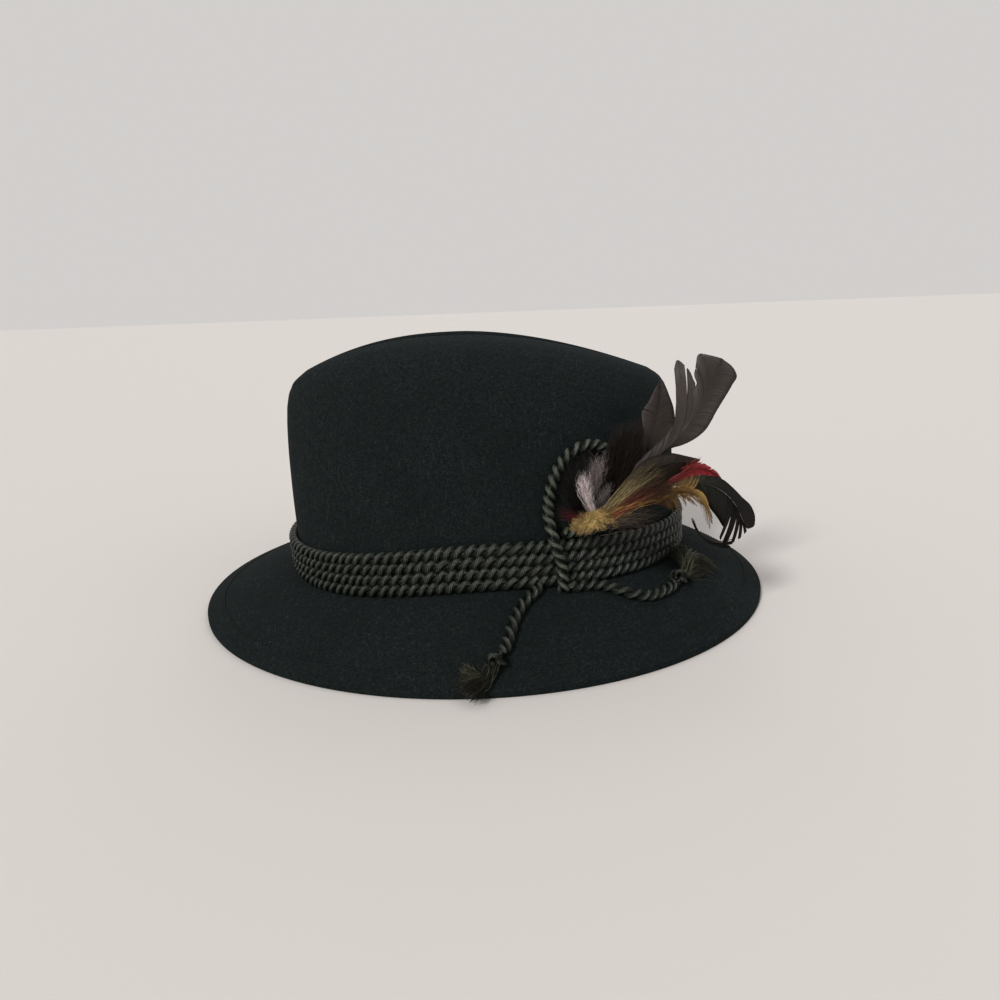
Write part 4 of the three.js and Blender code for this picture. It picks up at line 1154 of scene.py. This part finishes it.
def add_cock():
    """A glossy black feather that arches over and down, its end split into points, with one curled back."""
    feather = Feather(27, 2, 0.02, [(4.6, 9.3), (17.9, 13.8), (28.3, 16.2), (40.2, 17), (49.2, 15.7),
                                    (56.9, 11.5), (62.6, 5), (66, -2.2)])
    upper_edge = [(37, 18), (43.1, 19.7), (50.6, 19.6), (55.6, 17.8), (60.8, 13.5), (65.4, 8.7), (69.5, 4.6),
                  (71.8, -2.5), (71.5, -4.8), (68.5, -6)]
    lower_edge = [(38.5, 14.5), (43.3, 12.8), (48, 9), (51.2, 4.2), (54.4, 0.1), (57.2, -4.5)]
    split_edge = [(55.5, -8.5), (57.8, -13.5), (61.9, -12), (66.4, -9.4), (69, -6.2)]
    curl_starts = feather.scattered([(61, -11), (60, -13.8)], 30, 0.4)
    curl_ends = feather.scattered([(42.2, 1), (43, -0.6)], 30, 0.3)
    curl = bent(curl_starts, np.broadcast_to([47, -13.5], curl_starts.shape), curl_ends)
    curl = np.concatenate([curl, 0.2 * feather.rng.normal(size=(*curl.shape[:2], 1))], axis=-1)
    feather.add_vane(upper_edge, (0.36, 0.99), 330, 0.42, 0.5, 3, 0.02, 0.02)
    feather.add_vane(lower_edge, (0.4, 0.82), 230, 0.42, 0.45, 2, 0.04, 0.03)
    feather.add_vane(split_edge, (0.76, 1), 150, 0.34, 0.3, 5, 0.6, 0.03, roll=0.25, taper=0.6)
    feather.add_hairs(curl, 0.2, 0.9, 0.4)
    feather.add_shaft(0.3, 0.0)
    # The pale greenish colour at the feather's start is a painted sheen.
    hues = [(0.45, (0.045, 0.042, 0.028)), (0.6, (0.0125, 0.0130, 0.0088)), (0.85, (0.0065, 0.0050, 0.0046)),
            (1.0, (0.012, 0.0070, 0.005))]
    finish = feather_finish("black_feather", hues, (0.009, 0.0055, 0.0045), (0.014, 0.012, 0.009), 0.5, 0.3,
                            dark=0.2, Specular_IOR_Level=0.24, Coat_Weight=0.04, Coat_Roughness=0.15)
    feather.finished("black_feather", "black_feather", "feather_cock", finish)


def add_yellow():
    """Yellow and orange barbs that hang loose from a short shaft over the black feather."""
    shaft = [(2, 4), (17.1, 10.5), (23.6, 13.1), (30.3, 14), (36.9, 15.2), (41, 15)]
    feather = Feather(28, 3, 0.0, shaft)
    short_edge = [(22.5, 8.5), (27.4, 8.2), (34.2, 4.2), (37.4, 4.8), (39.5, 8.5)]
    long_edge = [(42.5, 6.2), (46, 7.2), (49.7, 4), (50.9, -1.3), (49.2, -5.2)]
    orange_edge = [(30.2, 16.2), (34.6, 18.8), (38.2, 20.7), (41.8, 21.6), (44.5, 21.4)]
    mantle_starts = feather.scattered(shaft, 120, 0.8, 0.2, 0.85)
    mantle_ends = feather.scattered([(24.5, 11), (33, 13.8), (40, 15), (44.5, 11.5)], 120, 1.4)
    mantle = feather.hairs(mantle_starts, mantle_ends, 0.12, 0.04)
    feather.add_vane(short_edge, (0.25, 0.8), 120, 0.14, 0.5, 8, 0.5, 0.5, roll=0.7, taper=0.6)
    feather.add_vane(long_edge, (0.7, 1), 130, 0.14, 0.45, 8, 0.5, 0.5, roll=0.7, taper=0.6)
    feather.add_vane(orange_edge, (0.45, 0.98), 80, 0.13, 0.5, 6, 0.45, 0.5, 0.5, 0.7, 0.6)
    feather.add_hairs(mantle, 0.11, 0.3 + 0.7 * feather.rng.uniform(0, 1, len(mantle)), 0.5, 0.45)
    feather.add_shaft(0.25, 0.3)
    hues = [(0.3, (0.085, 0.036, 0.016)), (0.5, (0.150, 0.066, 0.022)), (0.75, (0.280, 0.175, 0.060)),
            (1.0, (0.330, 0.225, 0.085))]
    finish = feather_finish("yellow_feather", hues, (0.13, 0.075, 0.030), (0.16, 0.09, 0.04), 0.5, 0.55,
                            dark=0.2, Specular_IOR_Level=0.22)
    feather.finished("yellow_feather", "yellow_feather", "feather_yellow", finish)


def add_fuzz(head, tufts=130, each=12):
    """Tufts of short hairs over a tilted oval.

    The hairs of a tuft lean one way, near to the way out from the oval's middle or along the plume."""
    rng = head.rng
    middle, half_length, half_height, tilt = np.array([-4.6, 2.8]), 8.4, 3.1, 0.24
    turn = rng.uniform(0, 2 * np.pi, tufts)
    radius = np.sqrt(rng.uniform(0, 1, tufts))
    along, up = half_length * radius * np.cos(turn), half_height * radius * np.sin(turn)
    aside = np.stack([along * np.cos(tilt) - up * np.sin(tilt),
                      along * np.sin(tilt) + up * np.cos(tilt)], axis=1)
    outward = np.arctan2(aside[:, 1], aside[:, 0]) + rng.normal(0, 0.5, tufts)
    heading = np.where(rng.uniform(0, 1, tufts) < 0.55, outward, rng.normal(0.5, 0.8, tufts))
    reach = rng.uniform(1.8, 4.2, tufts)
    tone = rng.uniform(0.05, 1.0, tufts)
    lift = 1.8 * (1 - radius ** 2) * rng.uniform(-0.4, 1, tufts)
    tuft = np.repeat(np.arange(tufts), each)
    starts = middle + aside[tuft] + 0.5 * rng.normal(size=(len(tuft), 2))
    lean = heading[tuft] + 0.3 * rng.normal(size=len(tuft))
    length = reach[tuft] * rng.uniform(0.6, 1.1, len(tuft))
    tips = starts + length[:, None] * np.stack([np.cos(lean), np.sin(lean)], axis=1)
    lines = head.hairs(starts, tips, 0.35, 0.2, 1.0)
    lines[..., 2] += lift[tuft][:, None]
    head.add_hairs(lines, 0.09, 0.12 * radius[tuft] ** 1.5, tone[tuft], 0.22)


# The head's fans: count, starts, ends, scatter, bow, wave, out, half width, spot, tone and spread
FANS = [
    (150, [(-1.5, 5), (4.5, 8.5)], [(14, 23.5), (18, 26.8), (24, 26.2), (26.8, 22.5)],
     1.1, 0.03, 0.015, 0.6, 0.1, 0.2, 0.5, 0.4),
    (150, [(0.5, 5), (6.4, 7.2)], [(22.5, 21.8), (27.5, 19), (31, 16)],
     1.4, 0.05, 0.04, 0.6, 0.11, 0.4, 0.5, 0.4),
    (90, [(0, 3), (8, 6)], [(19, 13.2), (26, 15), (31, 16.2)],
     1.2, 0.08, 0.04, 0.9, 0.11, 0.85, 0.5, 0.4),
    (60, [(1, 4), (7, 6.8)], [(23, 16.5), (30, 17.6)],
     1.3, 0.06, 0.04, 0.9, 0.11, 0.7, 0.5, 0.4),
    (90, [(-1.7, 0), (5, 1.5)], [(17.5, 9.8), (23.8, 7.5), (25.5, 4), (22.8, 0), (15, -1.5)],
     1.6, 0.14, 0.07, 0.8, 0.09, 0.58, 0.5, 0.5),
    (22, [(-10.5, 5.5), (-10, 3)], [(-19, 12.2), (-19.6, 7), (-19, 3.2)],
     1.0, -0.06, 0.06, 0.6, 0.07, 0.7, 0.4, 0.25),
    (44, [(-8, 0.5), (-5, -0.5)], [(-11.8, -1.4), (-8.5, -3.4), (-4.5, -3.6)],
     0.7, 0.1, 0.08, 0.6, 0.09, 1.0, 0.5, 0.25),
]


def add_hackles():
    """The head: tufts of ochre fuzz, a straight fan of greenish barbs, mixed barbs and red wisps."""
    head = Feather(29, 4.2, -0.12)
    add_fuzz(head)
    for count, low, high, scatter, bow, wave, out, half_width, spot, tone, spread in FANS:
        starts = head.scattered(low, count, scatter)
        ends = head.scattered(high, count, scatter)
        head.add_hairs(head.hairs(starts, ends, bow, wave, out), half_width, spot, tone, spread)
    hues = [(0.0, (0.760, 0.600, 0.270)), (0.06, (0.540, 0.400, 0.175)), (0.13, (0.320, 0.205, 0.090)),
            (0.2, (0.290, 0.240, 0.125)), (0.4, (0.120, 0.044, 0.028)), (0.58, (0.110, 0.084, 0.068)),
            (0.7, (0.160, 0.012, 0.022)), (0.85, (0.330, 0.205, 0.070)), (1.0, (0.480, 0.330, 0.270))]
    finish = feather_finish("plume_head", hues, (0.050, 0.034, 0.022), (0.20, 0.11, 0.04), 0.8, 0.6, 0.16,
                            0.08, Specular_IOR_Level=0.2)
    head.finished("plume_hackles", "yellow_feather", "plume_head", finish)


grey_finish = add_tall_grey()
add_inner_grey(grey_finish)
brown_finish = add_broad_brown()
add_brown_down(brown_finish)
add_white_down()
add_red()
add_cock()
add_yellow()
add_hackles()


# Floor and light

FLOOR_REACH = 6
FLOOR_COLOUR = (0.545, 0.527, 0.513, 1)
SURROUND_COLOUR = (0.95, 0.925, 0.91, 1)
SURROUND_STRENGTH = 0.72
PICTURE_GAMMA = 0.85


def add_floor():
    """A wide, plain, pale floor under the brim's edge."""
    finish = Finish("floor", Roughness=0.9, Specular_IOR_Level=0.2)
    finish.shader.inputs["Base Color"].default_value = FLOOR_COLOUR
    corners = FLOOR_REACH * np.array([(-1, -1, 0), (1, -1, 0), (1, 1, 0), (-1, 1, 0)], float)
    mesh_piece("floor", corners, [np.array([[0, 1, 2, 3]])], finish.material)


def add_light(name, towards, width, strength, colour):
    """A far, soft light that shines from a direction and takes up an angle of the width in degrees."""
    data = bpy.data.lights.new(name, "SUN")
    data.angle = math.radians(width)
    data.energy = strength
    data.color = colour
    light = bpy.data.objects.new(name, data)
    light.rotation_euler = Vector(towards).to_track_quat("Z", "Y").to_euler()
    bpy.context.scene.collection.objects.link(light)


def add_world():
    """An even, pale surround."""
    world = bpy.data.worlds.new("surround")
    world.use_nodes = True
    background = world.node_tree.nodes["Background"]
    background.inputs["Color"].default_value = SURROUND_COLOUR
    background.inputs["Strength"].default_value = SURROUND_STRENGTH
    bpy.context.scene.world = world


add_floor()
add_world()
add_light("key", (-0.67, -0.88, 0.84), 12, 2.8, (1.0, 0.98, 0.95))
add_light("fill", (1.1, -0.8, 0.7), 60, 0.3, (0.95, 0.97, 1.0))
add_light("back", (0.3, 1.1, 0.9), 50, 0.5, (1.0, 1.0, 1.0))
bpy.context.scene.view_settings.view_transform = "Standard"
bpy.context.scene.view_settings.gamma = PICTURE_GAMMA
